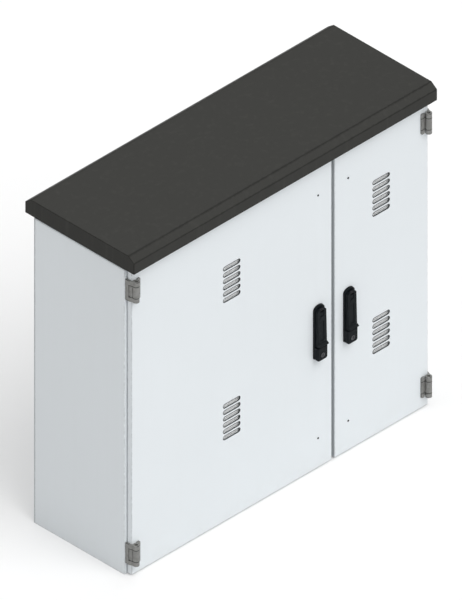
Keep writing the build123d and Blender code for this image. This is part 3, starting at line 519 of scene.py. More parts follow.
@cache
def cast_grain() -> Group:
    """Die cast skin: shallow cells with fine grit between them.

    Returns:
        The finished group.
    """
    w = Effect("cast_grain", {"Scale": "Float"}, ("Height", "Tone"))
    place = w.place()
    scale = w.given["Scale"]
    cells = w.cells(place, scale)["Distance"]
    grit = w.noise(place, w.math("MULTIPLY", scale, 2.3), detail=3.0, roughness=0.6)
    blotches = w.noise(place, w.math("MULTIPLY", scale, 0.12), detail=3.0, roughness=0.6)
    height = w.math("MULTIPLY_ADD", grit, 0.6, w.math("MULTIPLY", cells, 0.4))
    return w.give({"Height": height, "Tone": w.ramp(blotches, low=0.3, high=0.7)})


@cache
def drawn_grain() -> Group:
    """Metal that was drawn or turned: noise stretched along the way of working, with soft clouds.

    Returns:
        The finished group.
    """
    w = Effect("drawn_grain", {"Scale": "Float", "Stretch": "Vector"}, ("Height", "Tone"))
    place = w.place()
    stretched = w.vector("MULTIPLY", place, w.given["Stretch"])
    lines = w.noise(stretched, w.given["Scale"], detail=4.0, roughness=0.7)
    clouds = w.noise(place, scale=60.0, detail=3.0, roughness=0.6)
    return w.give({"Height": lines, "Tone": w.ramp(clouds, low=0.3, high=0.7)})


@cache
def zinc_spangle() -> Group:
    """Zinc crystals: flat cells, each with its own tone.

    Returns:
        The finished group.
    """
    w = Effect("zinc_spangle", {"Scale": "Float"}, ("Height", "Tone"))
    cells = w.cells(w.place(), w.given["Scale"])
    tone = w.add("ShaderNodeSeparateColor", {"Color": cells["Color"]}).outputs["Red"]
    return w.give({"Height": cells["Distance"], "Tone": tone})


@cache
def felted_fibres() -> Group:
    """Non-woven fleece: fine hairs in two crossing directions, on soft lumps.

    Returns:
        The finished group.
    """
    w = Effect("felted_fibres", {"Scale": "Float"}, ("Height", "Tone"))
    place = w.place()
    scale = w.given["Scale"]
    stretches = ((1.0, 1.0, 0.18), (0.18, 1.0, 1.0))
    hairs = w.math(
        "MAXIMUM",
        *(w.noise(w.vector("MULTIPLY", place, s), scale, detail=4.0, roughness=0.7) for s in stretches),
    )
    lumps = w.noise(place, w.math("MULTIPLY", scale, 0.15), detail=2.0, roughness=0.5)
    return w.give({"Height": w.math("ADD", hairs, lumps), "Tone": w.ramp(hairs, low=0.35, high=0.8)})


@cache
def slot_rims() -> Group:
    """Painted shade on the punched rims of a row of slots: a dark band round each slot and on its cut wall.

    In a slot's own cell, the distance to its outline is the length of (x beyond its straight part, z) less
    its radius. Shade is painted dark where that is within the width, and on the cut wall through the sheet.

    Returns:
        The finished group.
    """
    sizes = dict.fromkeys(("Pitch", "Straight", "Radius", "Reach", "Width"), "Float")
    w = Effect("slot_rims", {"Centre": "Vector", **sizes}, ("Mask",))
    offset = w.parts(w.vector("SUBTRACT", w.place(), w.given["Centre"]))
    half_pitch = w.math("MULTIPLY", w.given["Pitch"], 0.5)
    level = w.math("SUBTRACT", w.math("FLOORED_MODULO", offset["Z"], w.given["Pitch"]), half_pitch)
    past_straight = w.math("SUBTRACT", w.math("ABSOLUTE", offset["X"]), w.given["Straight"])
    beyond = w.math("MAXIMUM", past_straight, 0.0)
    squares = w.math("ADD", w.math("POWER", beyond, 2.0), w.math("POWER", level, 2.0))
    distance = w.math("SUBTRACT", w.math("SQRT", squares), w.given["Radius"])
    # Painted shade: full at the cut wall, fading out over the width round the slot.
    near = w.ramp(w.math("DIVIDE", distance, w.given["Width"]), low=1.0, high=0.55)
    inside = w.math("LESS_THAN", w.math("ABSOLUTE", offset["Z"]), w.given["Reach"])
    return w.give({"Mask": w.math("MULTIPLY", near, inside)})


# Finishes


def shade(colour: Colour, factor: float = 1.0) -> tuple[float, float, float, float]:
    """Make a colour opaque, and darker or lighter by a factor."""
    return (*(min(1.0, part * factor) for part in colour), 1.0)


@dataclass(frozen=True)
class EdgeBand:
    """The sizes of a band along the edges of a piece.

    The slope is that of its front and back top edges, and next to nothing where they are square.
    """

    width: float
    slope_run: float = 0.1 * MM
    slope_drop: float = 0.1 * MM

    def mask(self, w: Wiring, box: Box) -> Socket:
        """Place the band round the piece's box."""
        sizes = {"Slope Run": self.slope_run, "Slope Drop": self.slope_drop, "Width": self.width}
        return w.use(edge_band(), {"Low": box[0], "High": box[1], **sizes})["Mask"]


class Finish:
    """What every finish can do. Each has a method wire that joins it to a material's shader."""

    def material(self, name: str, *box: Box) -> Material:
        """Make the finish's material.

        Args:
            name: The material's name.
            box: The piece's lowest and highest corner, for a finish that follows its edges.

        Returns:
            The finished material.
        """
        w = Coating(name)
        self.wire(w, *box)
        return w.material


@dataclass(frozen=True)
class PowderCoat(Finish):
    """Stoved powder paint on sheet metal, outdoors, thinner along a piece's edges."""

    colour: Colour
    drift: float = 0.985
    edges: EdgeBand = EdgeBand(3.4 * MM)
    edge_tone: float = 0.68
    roughness: Span = (0.48, 0.58)
    specular: float = 0.3
    pebble_scale: float = 650.0
    drift_scale: float = 2.2
    texture_depth: float = 0.05 * MM
    bump: float = 0.25
    dust: Colour = (0.52, 0.5, 0.45)
    dust_reach: float = 0.14
    dust_scale: float = 14.0
    dust_amount: float = 0.1
    streak_scale: float = 55.0
    streak_amount: float = 0.015

    def wire(self, w: Coating, box: Box) -> Socket:
        """Join the paint to a material's shader.

        Args:
            w: The wiring of the material.
            box: The piece's lowest and highest corner.

        Returns:
            The paint's colour, before any other effect.
        """
        grain = w.use(paint_grain(), {"Pebble Scale": self.pebble_scale, "Drift Scale": self.drift_scale})
        dust = w.use(ground_dust(), {"Reach": self.dust_reach, "Patch Scale": self.dust_scale})
        streaks = w.use(rain_streaks(), {"Streak Scale": self.streak_scale})
        colour = w.blend(grain["Tone"], shade(self.colour, self.drift), shade(self.colour))
        colour = w.blend(self.edges.mask(w, box), colour, shade(self.colour, self.edge_tone))
        for marks, amount in ((streaks, self.streak_amount), (dust, self.dust_amount)):
            colour = w.blend(w.math("MULTIPLY", marks["Mask"], amount), colour, shade(self.dust))
        roughness = w.ramp(grain["Tone"], 0.0, 1.0, *self.roughness)
        w.set({"Base Color": colour, "Roughness": roughness, "Specular IOR Level": self.specular})
        w.emboss(grain["Height"], self.bump, self.texture_depth)
        return colour


@dataclass(frozen=True)
class Casting(Finish):
    """A die cast or moulded part with a fine skin, whose roughness follows one output of its grain."""

    colour: Colour
    second: Colour
    metallic: float = 0.0
    roughness: Span = (0.4, 0.55)
    rough_by: str = "Height"
    rough_span: Span = (0.2, 0.8)
    specular: float = 0.3
    scale: float = 900.0
    depth: float = 0.06 * MM
    bump: float = 0.35

    def grain(self, w: Coating) -> Outputs:
        """Place the shared effect that gives the tone and the height."""
        return w.use(cast_grain(), {"Scale": self.scale})

    def wire(self, w: Coating) -> Socket:
        """Join the skin to a material's shader.

        Args:
            w: The wiring of the material.

        Returns:
            The skin's colour, before any other effect.
        """
        grain = self.grain(w)
        colour = w.blend(grain["Tone"], shade(self.colour), shade(self.second))
        roughness = w.ramp(grain[self.rough_by], *self.rough_span, *self.roughness)
        w.set({"Base Color": colour, "Roughness": roughness})
        w.set({"Metallic": self.metallic, "Specular IOR Level": self.specular})
        w.emboss(grain["Height"], self.bump, self.depth)
        return colour


@dataclass(frozen=True)
class HingeCasting(Casting):
    """The skin of a hinge leaf, with painted shade in the gaps between its knuckles, and darker along its
    edges.
    """

    # Colour of the painted shade in the knuckle joints, also used to darken the edges.
    grime: Colour = (0.03, 0.03, 0.03)
    knuckle_height: float = 14 * MM
    joint_width: float = 1.8 * MM
    joint_core: float = 0.3
    joint_reach: float = 25 * MM
    edges: EdgeBand = EdgeBand(1.9 * MM)
    edge_amount: float = 0.9

    def wire(self, w: Coating, box: Box) -> Socket:
        """Join the skin of one leaf to a material's shader.

        Shade is painted on a joint, which is where the height above the foot, or below the top, is near the
        height of an end knuckle, on the part that reaches forward from the plate.

        Args:
            w: The wiring of the material.
            box: The leaf's lowest and highest corner, with the foot and top of the whole hinge.

        Returns:
            The colour with the painted joint shade and the darker edges.
        """
        colour = super().wire(w)
        low, high = box
        place = w.parts(w.place())
        from_foot = w.math("SUBTRACT", place["Z"], low.z)
        from_top = w.math("SUBTRACT", high.z, place["Z"])
        # Painted shade in the gaps between the knuckles: a dark band at each joint.
        from_joint = w.math("SUBTRACT", w.math("MINIMUM", from_foot, from_top), self.knuckle_height)
        core = self.joint_core * self.joint_width
        near = w.ramp(w.math("ABSOLUTE", from_joint), self.joint_width, core)
        forward = w.math("LESS_THAN", place["Y"], low.y + self.joint_reach)
        joint = w.math("MULTIPLY", forward, near)
        dark = w.math("MAXIMUM", joint, w.math("MULTIPLY", self.edges.mask(w, box), self.edge_amount))
        # Blend in the painted joint shade and the darker edges.
        colour = w.blend(dark, colour, shade(self.grime))
        w.set({"Base Color": colour})
        return colour


@dataclass(frozen=True)
class DrawnMetal(Casting):
    """Bare or plated metal with the lines of its working."""

    metallic: float = 1.0
    roughness: Span = (0.28, 0.42)
    rough_span: Span = (0.25, 0.75)
    specular: float = 0.5
    scale: float = 700.0
    depth: float = 0.03 * MM
    bump: float = 0.3
    stretch: Point = (0.1, 1.0, 1.0)

    def grain(self, w: Coating) -> Outputs:
        """Place the shared effect that gives the tone and the height."""
        return w.use(drawn_grain(), {"Scale": self.scale, "Stretch": self.stretch})


@dataclass(frozen=True)
class Galvanising(Casting):
    """Hot dip zinc on sheet steel."""

    metallic: float = 1.0
    roughness: Span = (0.38, 0.55)
    rough_by: str = "Tone"
    rough_span: Span = (0.0, 1.0)
    specular: float = 0.5
    scale: float = 130.0
    depth: float = 0.02 * MM
    bump: float = 0.3

    def grain(self, w: Coating) -> Outputs:
        """Place the shared effect that gives the tone and the height."""
        return w.use(zinc_spangle(), {"Scale": self.scale})


@dataclass(frozen=True)
class Fleece(Finish):
    """White non-woven filter fleece, a little grey from dust."""

    clean: Colour = (0.95, 0.965, 0.965)
    dusty: Colour = (0.86, 0.875, 0.87)
    fibre_scale: float = 1500.0
    depth: float = 0.6 * MM
    bump: float = 0.7
    roughness: float = 0.95
    sheen: float = 0.3
    specular: float = 0.2

    def wire(self, w: Coating) -> None:
        """Join the fleece to a material's shader.

        Args:
            w: The wiring of the material.
        """
        fibres = w.use(felted_fibres(), {"Scale": self.fibre_scale})
        colour = w.blend(fibres["Tone"], shade(self.dusty), shade(self.clean))
        w.set({"Base Color": colour, "Roughness": self.roughness})
        w.set({"Sheen Weight": self.sheen, "Specular IOR Level": self.specular})
        w.emboss(fibres["Height"], self.bump, self.depth)


@dataclass(frozen=True)
class Palette:
    """The finishes of the whole cabinet, each made once where it doesn't depend on a piece."""

    light_grey: PowderCoat = PowderCoat((0.79, 0.83, 0.855))
    roof_grey: PowderCoat = PowderCoat(
        (0.044, 0.044, 0.041),
        drift=0.93,
        edges=EdgeBand(3.5 * MM, slope_run=20.5 * MM, slope_drop=15.5 * MM),
        edge_tone=0.5,
        roughness=(0.5, 0.62),
        specular=0.05,
        dust_amount=0.0,
        streak_amount=0.012,
    )
    handle_black: Casting = Casting((0.0055, 0.0075, 0.009), (0.008, 0.0105, 0.0125), specular=0.09)
    nylon: Casting = Casting(
        (0.035, 0.036, 0.038), (0.045, 0.046, 0.048), roughness=(0.45, 0.6), scale=700.0
    )
    rubber: Casting = Casting(
        (0.018, 0.018, 0.018), (0.028, 0.028, 0.027), roughness=(0.7, 0.85), scale=1600.0
    )
    zinc_casting: HingeCasting = HingeCasting(
        (0.21, 0.21, 0.2), (0.27, 0.27, 0.26), metallic=0.3, specular=0.4
    )
    plated_steel: DrawnMetal = DrawnMetal(
        (0.46, 0.46, 0.44), (0.56, 0.56, 0.53), stretch=(1.0, 1.0, 0.06)
    )
    dark_chrome: DrawnMetal = DrawnMetal(
        (0.07, 0.072, 0.076), (0.1, 0.102, 0.106), roughness=(0.22, 0.34)
    )
    blackened_steel: DrawnMetal = DrawnMetal(
        (0.016, 0.016, 0.018), (0.028, 0.028, 0.03), roughness=(0.35, 0.5)
    )
    brass: DrawnMetal = DrawnMetal((0.62, 0.42, 0.16), (0.74, 0.54, 0.24))
    zinc_coat: Galvanising = Galvanising((0.42, 0.44, 0.45), (0.6, 0.62, 0.63))
    fleece: Fleece = Fleece()

    @cache
    def shared(self, name: str) -> Material:
        """Give the material of a finish that is the same on every piece, made at its first use."""
        return getattr(self, name).material(name)


palette = Palette()


def coat(piece: Piece, material: Material) -> None:
    """Put one material on the whole piece."""
    piece.data.materials.clear()
    piece.data.materials.append(material)


def dress(finish: str, *nodes: str) -> None:
    """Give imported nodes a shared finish.

    Args:
        finish: The finish's name in the palette.
        nodes: The nodes' names.
    """
    for name in nodes:
        coat(frame["nodes"][name], palette.shared(finish))
        log.info("dressed %s in %s", name, finish)


def paint(finish: PowderCoat, *nodes: str) -> None:
    """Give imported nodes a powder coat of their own.

    Args:
        finish: The paint.
        nodes: The nodes' names.
    """
    for name in nodes:
        coat(frame["nodes"][name], finish.material(f"paint_{name}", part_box(name)))
        log.info("painted %s", name)


def fit(piece: Piece, body: str, slot: str, finish: str, *stands_for: str) -> None:
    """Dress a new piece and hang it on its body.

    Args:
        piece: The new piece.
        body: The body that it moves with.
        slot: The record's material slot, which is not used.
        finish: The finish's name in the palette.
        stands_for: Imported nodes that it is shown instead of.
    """
    coat(piece, palette.shared(finish))
    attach(piece, body)
    if stands_for:
        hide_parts(*stands_for)
    log.info("made %s, %d faces", piece.name, len(piece.data.polygons))


# Sub-assemblies


@dataclass(frozen=True)
class SocketScrews:
    """Cap screws with a hexagon socket, all of one kind."""

    name: str
    node: str
    body: str
    facing: Facing
    head_radius: float
    head_height: float
    shank_radius: float
    segments: int = 36
    bevel: float = 0.5 * MM
    shoulder_share: float = 0.3
    socket_share: float = 0.5
    floor_share: float = 0.35
    core: float = 0.15 * MM
    place_gap: float = 12 * MM
    crease: float = 40

    def profile(self, length: float) -> Array:
        """Follow one screw's outline from the floor of its socket over the head to the end of the shank.

        Args:
            length: The whole screw's length.

        Returns:
            Rows of radius, height above the head's seat, and 1 in the socket or 0 elsewhere.
        """
        shank_end = self.head_height - length
        socket = self.head_radius * self.socket_share
        floor = self.head_height * self.floor_share
        shoulder = self.bevel * self.shoulder_share
        return np.array(
            [
                (self.core, floor, 1),
                (socket, floor, 1),
                (socket, self.head_height, 1),
                (socket + self.bevel / 2, self.head_height, 0),
                (self.head_radius - self.bevel, self.head_height, 0),
                (self.head_radius - shoulder, self.head_height - shoulder, 0),
                (self.head_radius, self.head_height - self.bevel, 0),
                (self.head_radius, 0, 0),
                (self.shank_radius, 0, 0),
                (self.shank_radius, shank_end + self.bevel, 0),
                (self.shank_radius - self.bevel, shank_end, 0),
                (self.core, shank_end, 0),
            ]
        )

    def build(self) -> Piece:
        """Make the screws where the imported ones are.

        A profile is turned about Y. In the socket its radius is that of a hexagon, outside that of a circle.

        Returns:
            The new piece.
        """
        low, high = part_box(self.node)
        rows = self.profile(high.y - low.y)
        angles = full_circle(self.segments)
        six_sided = rows[:, 2:]
        radii = rows[:, :1] * (1 - six_sided + six_sided * hexagon(angles))
        screw = turned(radii, rows[:, 1], angles, self.facing)
        places = bar_places(self.node, self.place_gap)
        top = high.y if self.facing is Facing.BACK else low.y
        seats = np.full(len(places), top - self.facing.value * self.head_height)
        centres = np.stack([places[:, 0], seats, places[:, 1]], axis=-1)
        piece = GridSurface(screw[None] + centres[:, None, None, :]).mesh(self.name, self.crease)
        fit(piece, self.body, "steel", "plated_steel", self.node)
        return piece


@dataclass(frozen=True)
class RoofCap:
    """The dark cap with the rails and bolts that carry it."""

    def dress(self) -> None:
        """Paint the cap and coat what is below it."""
        paint(palette.roof_grey, "roof_cap")
        dress("zinc_coat", "roof_rails")
        dress("plated_steel", "roof_bolts")


@dataclass(frozen=True)
class Body:
    """The sheet metal body."""

    panels: tuple[str, ...] = (
        "side_panel_left", "side_panel_right", "back_panel", "top_panel",
        "base_sill_front", "base_sill_back", "centre_mullion",
    )

    def dress(self) -> None:
        """Paint the panels and coat the rivets."""
        paint(palette.light_grey, *self.panels)
        dress("plated_steel", "back_panel_rivets")


@dataclass(frozen=True)
class EarthStud:
    """The threaded stud for the earth conductor, with a collar twice as wide as the thread."""

    pitch: float = 1.25 * MM
    thread_depth: float = 0.65 * MM
    points_per_turn: int = 10
    segments: int = 32
    chamfer: float = 1.0 * MM
    collar_length: float = 4 * MM
    collar_chamfer: float = 0.4 * MM
    crease: float = 50

    def thread(self, radius: float, length: float) -> tuple[Array, Array]:
        """Cut the thread from the collar to the end.

        The radius is the outer one less the depth times a triangle wave of (distance over pitch less angle
        over a full turn), so the crest climbs one pitch in each turn. The wave fades out over the first and
        last pitch, and the end is chamfered.

        Args:
            radius: The thread's outer radius.
            length: The whole stud's length.

        Returns:
            The distance of each row from the wall, and the radius at each row and angle.
        """
        rows = int((length - self.collar_length) / self.pitch * self.points_per_turn)
        along = np.linspace(self.collar_length, length, rows)
        phase = along[:, None] / self.pitch - full_circle(self.segments) / FULL_TURN
        wave = 1 - np.abs(2 * np.mod(phase, 1.0) - 1)
        from_ends = np.minimum(along - self.collar_length, length - along)
        fade = np.clip(from_ends / self.pitch, 0, 1)[:, None]
        tip = np.clip(1 - (length - along) / self.chamfer, 0, 1)[:, None]
        return along, radius - self.thread_depth * wave * fade - self.chamfer * tip

    def build(self) -> Piece:
        """Make the stud: a point is (distance, radius times cosine, radius times sine) from the wall.

        Returns:
            The new piece.
        """
        low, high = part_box("earth_stud")
        collar = (high.z - low.z) / 2
        radius = collar / 2
        along, thread = self.thread(radius, high.x - low.x)
        edge = collar - self.collar_chamfer
        collar_radii = np.array([edge, collar, collar, edge, radius])
        chamfer_start = self.collar_length - self.collar_chamfer
        steps = [0, self.collar_chamfer, chamfer_start, self.collar_length, self.collar_length]
        foot = np.broadcast_to(collar_radii[:, None], (len(steps), self.segments))
        radii = np.concatenate([foot, thread])
        distance = np.broadcast_to(np.concatenate([steps, along])[:, None], radii.shape)
        middle = (low + high) / 2
        angles = full_circle(self.segments)
        round_y = middle.y + radii * np.cos(angles)
        round_z = middle.z + radii * np.sin(angles)
        points = np.stack([low.x + distance, round_y, round_z], axis=-1)
        piece = GridSurface(points[None]).mesh("earth_stud_threaded", self.crease)
        fit(piece, "cabinet", "brass", "brass", "earth_stud")
        return piece


@dataclass(frozen=True)
class Interior:
    """The fittings inside the body."""

    sheet_fittings: tuple[str, ...] = (
        "support_angle_left", "support_angle_right", "cable_rail",
        "mounting_plate_left", "mounting_plate_right",
    )
    stud: EarthStud = EarthStud()
    screws: SocketScrews = SocketScrews(
        "plate_socket_screws", "plate_screws", "cabinet", Facing.FRONT,
        head_radius=5.5 * MM,
        head_height=4 * MM,
        shank_radius=3 * MM,
        place_gap=20 * MM,
    )

    def dress(self) -> None:
        """Coat the sheet fittings and make the screws and the stud."""
        dress("zinc_coat", *self.sheet_fittings)
        dress("plated_steel", "plate_standoffs")
        self.screws.build()
        self.stud.build()


@dataclass(frozen=True)
class Hinges:
    """The cast hinges of both doors."""

    levels: tuple[str, str] = ("lower", "upper")
    screws: SocketScrews = SocketScrews(
        "hinge_frame_socket_screws", "hinge_frame_screws", "cabinet", Facing.BACK,
        head_radius=2.6 * MM,
        head_height=3 * MM,
        shank_radius=1.6 * MM,
    )

    def dress(self) -> None:
        """Coat the leaves and pins, and make the screws of the frame leaves."""
        for side in Side:
            for level in self.levels:
                self.dress_leaves(f"{side.word}_{level}")
            dress("plated_steel", f"hinge_pins_{side.word}")
        self.screws.build()

    def dress_leaves(self, place: str) -> None:
        """Coat both leaves of one hinge, each with its own edges and the joints of the whole hinge.

        Args:
            place: The hinge's side and level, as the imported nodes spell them.
        """
        foot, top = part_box(f"hinge_frame_leaf_{place}")
        for part in ("frame", "door"):
            name = f"hinge_{part}_leaf_{place}"
            low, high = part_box(name)
            box = (Vector((low.x, low.y, foot.z)), Vector((high.x, high.y, top.z)))
            coat(frame["nodes"][name], palette.zinc_casting.material(f"cast_{name}", box))
            log.info("dressed %s in zinc_casting", name)


@dataclass(frozen=True)
class DoorGasket:
    """The foamed seal on the back of a door: a flat foot with a crowned top."""

    side: Side
    half_width: float = 5 * MM
    corner_radius: float = 9 * MM
    corner_steps: int = 10
    profile_steps: int = 14
    crown_power: float = 0.6
    crease: float = 60

    def build(self) -> Piece:
        """Carry the seal's section round the door.

        Across the loop a point lies at the half width times the cosine of its angle, squared off by a power,
        and it stands proud by the thickness times the positive part of its sine, to the same power.

        Returns:
            The new piece.
        """
        node = f"door_gasket_{self.side.word}"
        low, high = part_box(node)
        centre = np.array([low.x + high.x, low.z + high.z]) / 2
        half = np.array([high.x - low.x, high.z - low.z]) / 2 - self.half_width
        loop, outward = rounded_loop(centre, half, self.corner_radius, self.corner_steps)
        angles = full_circle(self.profile_steps)
        cosine = np.cos(angles)
        across = self.half_width * np.sign(cosine) * np.abs(cosine) ** self.crown_power
        proud = (high.y - low.y) * np.clip(np.sin(angles), 0, None) ** self.crown_power
        points = swept(loop, outward, across, low.y + proud)
        piece = GridSurface(points, loops=True).mesh(f"{node}_foam", self.crease)
        fit(piece, f"{self.side.word}_door", "gasket_rubber", "rubber", node)
        return piece


@dataclass(frozen=True)
class Door:
    """One door with its vents, guides and seal."""

    side: Side
    slot_levels: Span = (317 * MM, 751.5 * MM)
    slot_pitch: float = 20 * MM
    slots: int = 6
    slot_half_straight: float = 24.5 * MM
    slot_radius: float = 5.5 * MM
    # Painted shade round the slots and on their cut walls: its width, colour and strength.
    rim_width: float = 2.6 * MM
    rim_colour: Colour = (0.012, 0.014, 0.015)
    rim_amount: float = 0.97
    # Painted shade on the flange at the meeting edge, as a share of the paint's colour.
    meeting_tone: float = 0.66
    flange_skin: float = 0.5 * MM
    screw_sizes: tuple[float, float, float] = (4.2 * MM, 3 * MM, 2.5 * MM)

    def dress(self) -> None:
        """Paint the panel and coat or make what it carries."""
        word = self.side.word
        self.paint_panel()
        dress("zinc_coat", f"vent_cassettes_{word}")
        dress("fleece", f"filter_mats_{word}")
        dress("nylon", f"rod_guides_{word}")
        dress("plated_steel", f"rod_upper_{word}", f"rod_lower_{word}")
        dress("blackened_steel", f"rod_guide_rivets_{word}")
        names = (f"door_socket_screws_{word}", f"door_screws_{word}", f"{word}_door")
        SocketScrews(*names, Facing.BACK, *self.screw_sizes).build()
        DoorGasket(self.side).build()

    def paint_panel(self) -> None:
        """Paint the panel, with painted shade on the rims and cut walls of its slots and on the flange at
        the meeting edge, in the gap between the doors.
        """
        node = f"door_panel_{self.side.word}"
        low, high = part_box(node)
        w = Coating(f"paint_{node}")
        colour = palette.light_grey.wire(w, (low, high))
        # Painted shade: the flange at the meeting edge, in the gap between the doors, is darkened.
        meeting_x = low.x if self.side is Side.RIGHT else high.x
        from_meeting = w.math("ABSOLUTE", w.math("SUBTRACT", w.parts(w.place())["X"], meeting_x))
        flange = w.math("LESS_THAN", from_meeting, self.flange_skin)
        colour = w.blend(flange, colour, shade(palette.light_grey.colour, self.meeting_tone))
        sizes = {
            "Pitch": self.slot_pitch,
            "Straight": self.slot_half_straight,
            "Radius": self.slot_radius,
            "Reach": self.slots * self.slot_pitch / 2,
            "Width": self.rim_width,
        }
        # Painted shade round each slot and on its cut wall, blended over the paint.
        centres = [((low.x + high.x) / 2, 0.0, level) for level in self.slot_levels]
        masks = [w.use(slot_rims(), {"Centre": centre, **sizes})["Mask"] for centre in centres]
        rims = w.math("MULTIPLY", w.math("MAXIMUM", *masks), self.rim_amount)
        w.set({"Base Color": w.blend(rims, colour, shade(self.rim_colour))})
        coat(frame["nodes"][node], w.material)
        log.info("painted %s", node)


@dataclass(frozen=True)
class Handle:
    """The swing handle of one door, with its lock, spindle and cam.

    The seal's profile is (across, forward) in shares of its overhang and height. The ring's is (outward,
    forward) in shares of its width and height.
    """

    side: Side
    plate_half_width: float = 18 * MM
    arch_flatness: float = 0.68
    arch_steps: int = 28
    foot_radius: float = 7 * MM
    foot_steps: int = 9
    seal_overhang: float = 0.8 * MM
    seal_height: float = 1.1 * MM
    seal_profile: tuple[Span, ...] = (
        (0.0, 0.0), (0.8, 0.0), (1.0, 0.25), (1.0, 0.75), (0.75, 1.0), (0.0, 1.0), (-1.0, 1.0), (-1.0, 0.0)
    )
    seal_crease: float = 50
    ring_inner: float = 7.3 * MM
    ring_outer: float = 9.6 * MM
    ring_height: float = 0.6 * MM
    ring_profile: tuple[Span, ...] = (
        (0.0, -0.5), (0.0, 0.5), (0.12, 0.85), (0.3, 1.0), (0.7, 1.0), (0.88, 0.85), (1.0, 0.5), (1.0, -0.5)
    )
    ring_segments: int = 48
    ring_crease: float = 60

    def dress(self) -> None:
        """Coat the castings and make the seal and the ring round the lock."""
        word = self.side.word
        dress("handle_black", f"handle_base_{word}", f"lever_{word}")
        dress("blackened_steel", f"lever_pin_{word}", f"spindle_{word}")
        dress("plated_steel", f"cam_{word}")
        dress("dark_chrome", f"lock_barrel_{word}")
        self.build_seal()
        self.build_ring()

    def plate_outline(self) -> Array:
        """Follow the plate: half an ellipse over straight sides, with quarter circles at the foot's corners.

        Returns:
            The points of the loop as (x, z), with the shape (points, 2).
        """
        low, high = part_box(f"handle_base_{self.side.word}")
        middle_x = (low.x + high.x) / 2
        arch = np.linspace(0, pi, self.arch_steps)
        rise = self.plate_half_width * self.arch_flatness
        arch_x = middle_x + self.plate_half_width * np.cos(arch)
        arch_z = high.z - rise + rise * np.sin(arch)
        turn = np.linspace(0, pi / 2, self.foot_steps)
        foot_x = middle_x - self.plate_half_width + self.foot_radius - self.foot_radius * np.cos(turn)
        foot_z = low.z + self.foot_radius - self.foot_radius * np.sin(turn)
        left_foot = np.stack([foot_x, foot_z], axis=-1)
        right_foot = left_foot[::-1] * (-1, 1) + (2 * middle_x, 0)
        return np.concatenate([np.stack([arch_x, arch_z], axis=-1), left_foot, right_foot])

    def build_seal(self) -> Piece:
        """Make the thin seal that shows round the foot of the handle.

        The profile goes up the outside of the plate's outline and down its inside.

        Returns:
            The new piece.
        """
        loop = self.plate_outline()
        step = np.roll(loop, -1, axis=0) - np.roll(loop, 1, axis=0)
        outward = np.stack([step[:, 1], -step[:, 0]], axis=-1) / np.linalg.norm(step, axis=1, keepdims=True)
        across, forward = np.array(self.seal_profile).T
        door_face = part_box(f"door_panel_{self.side.word}")[0].y
        depths = door_face - forward * self.seal_height
        points = swept(loop, outward, across * self.seal_overhang, depths)
        piece = GridSurface(points, loops=True).mesh(f"handle_seal_{self.side.word}", self.seal_crease)
        fit(piece, f"{self.side.word}_door", "gasket_rubber", "rubber")
        return piece

    def build_ring(self) -> Piece:
        """Make the raised ring round the lock: a low crowned profile turned about the barrel's axis.

        Returns:
            The new piece.
        """
        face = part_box(f"handle_base_{self.side.word}")[0].y
        low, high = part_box(f"lock_barrel_{self.side.word}")
        share, height = np.array(self.ring_profile).T
        angles = full_circle(self.ring_segments)
        radii = self.ring_inner + share * (self.ring_outer - self.ring_inner)
        every_radius = np.broadcast_to(radii[:, None], (len(radii), len(angles)))
        rows = turned(every_radius, height * self.ring_height, angles, Facing.FRONT)
        centre = np.array([(low.x + high.x) / 2, face, (low.z + high.z) / 2])
        points = np.swapaxes(rows, 0, 1)[None] + centre
        piece = GridSurface(points, loops=True).mesh(f"lock_ring_{self.side.word}", self.ring_crease)
        fit(piece, f"{self.side.word}_door", "handle_black", "handle_black")
        return piece


# Studio


@dataclass(frozen=True)
class Lamp:
    """A wide soft lamp that shines the same way everywhere."""

    name: str
    strength: float
    comes_from: Point
    angle: float

    def build(self) -> None:
        """Hang the lamp."""
        data = bpy.data.lights.new(self.name, "SUN")
        data.energy = self.strength
        data.angle = radians(self.angle)
        lamp = bpy.data.objects.new(self.name, data)
        lamp.rotation_mode = "QUATERNION"
        lamp.rotation_quaternion = Vector(self.comes_from).to_track_quat("Z", "Y")
        bpy.context.scene.collection.objects.link(lamp)


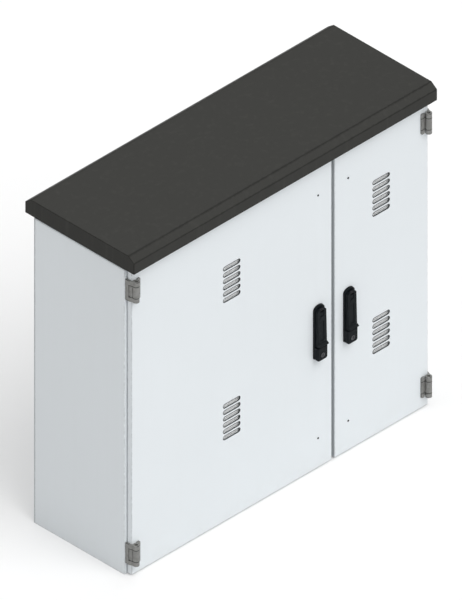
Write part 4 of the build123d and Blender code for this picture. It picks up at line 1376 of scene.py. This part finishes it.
@dataclass(frozen=True)
class Studio:
    """The plain floor, soft light and the camera."""

    picture_height: int = 600
    metres_per_pixel: float = 2.5834 * MM
    aim: Point = (-0.1605, -0.165, 0.6741)
    viewed_from: Point = (-1.0, -1.0, 1.0)
    distance: float = 6.0
    nearest: float = 0.1
    furthest: float = 40.0
    sky: float = 0.38
    lamps: tuple[Lamp, ...] = (
        Lamp("key", 1.55, (0.03, -0.6, 0.8), 50.0),
        Lamp("overhead", 1.0, (0.0, 0.0, 1.0), 90.0),
    )
    floor_size: float = 30.0
    floor_colour: Colour = (0.82, 0.82, 0.82)
    floor_roughness: float = 0.9
    floor_glow: float = 0.13
    white: Colour = (1.0, 1.0, 1.0)

    def build(self) -> None:
        """Make everything that isn't the object."""
        self.build_floor()
        self.build_world()
        for lamp in self.lamps:
            lamp.build()
        self.build_camera()

    def build_floor(self) -> None:
        """Lay a flat floor under the base, which the camera sees as white with the object's shadow."""
        half = self.floor_size / 2
        corners = [(-half, -half, 0), (half, -half, 0), (half, half, 0), (-half, half, 0)]
        data = bpy.data.meshes.new("floor")
        data.from_pydata(corners, [], [(0, 1, 2, 3)])
        floor = bpy.data.objects.new("floor", data)
        bpy.context.scene.collection.objects.link(floor)
        w = Coating("floor_white")
        w.set({"Base Color": shade(self.floor_colour), "Roughness": self.floor_roughness})
        w.set({"Specular IOR Level": 0.0, "Emission Color": shade(self.white)})
        seen = w.add("ShaderNodeLightPath").outputs["Is Camera Ray"]
        w.set({"Emission Strength": w.math("MULTIPLY", seen, self.floor_glow)})
        coat(floor, w.material)

    def build_world(self) -> None:
        """Light the scene evenly, and show white where the camera or a reflection sees past the floor."""
        world = bpy.data.worlds.new("studio")
        world.use_nodes = True
        w = Wiring(world.node_tree)
        path = w.add("ShaderNodeLightPath").outputs
        seen = w.math("MAXIMUM", path["Is Camera Ray"], path["Is Glossy Ray"])
        seen = w.math("MAXIMUM", seen, path["Is Transmission Ray"])
        strength = w.math("MULTIPLY_ADD", seen, 1.0 - self.sky, self.sky)
        light = w.add("ShaderNodeBackground", {"Color": shade(self.white), "Strength": strength})
        w.add("ShaderNodeOutputWorld", {"Surface": light.outputs["Background"]})
        bpy.context.scene.world = world

    def build_camera(self) -> None:
        """Look from the front left and above, with parallel lines kept parallel."""
        data = bpy.data.cameras.new("camera")
        data.type = "ORTHO"
        data.ortho_scale = self.picture_height * self.metres_per_pixel
        data.clip_start = self.nearest
        data.clip_end = self.furthest
        back = Vector(self.viewed_from).normalized()
        camera = bpy.data.objects.new("camera", data)
        camera.location = Vector(self.aim) + back * self.distance
        camera.rotation_mode = "QUATERNION"
        camera.rotation_quaternion = back.to_track_quat("Z", "Y")
        bpy.context.scene.collection.objects.link(camera)
        bpy.context.scene.camera = camera


@dataclass(frozen=True)
class Cabinet:
    """The whole cabinet in the order of its building."""

    body: Body = Body()
    roof: RoofCap = RoofCap()
    interior: Interior = Interior()
    hinges: Hinges = Hinges()
    doors: tuple[Door, ...] = tuple(Door(side) for side in Side)
    handles: tuple[Handle, ...] = tuple(Handle(side) for side in Side)

    def dress(self) -> None:
        """Dress every sub-assembly."""
        for part in (self.body, self.roof, self.interior, self.hinges, *self.doors, *self.handles):
            part.dress()


def main() -> None:
    """Dress the cabinet and set up the studio."""
    logging.basicConfig(level=logging.INFO, format="%(message)s")
    bpy.context.scene.view_settings.view_transform = "Standard"
    Cabinet().dress()
    Studio().build()


if __name__ == "__main__":
    main()
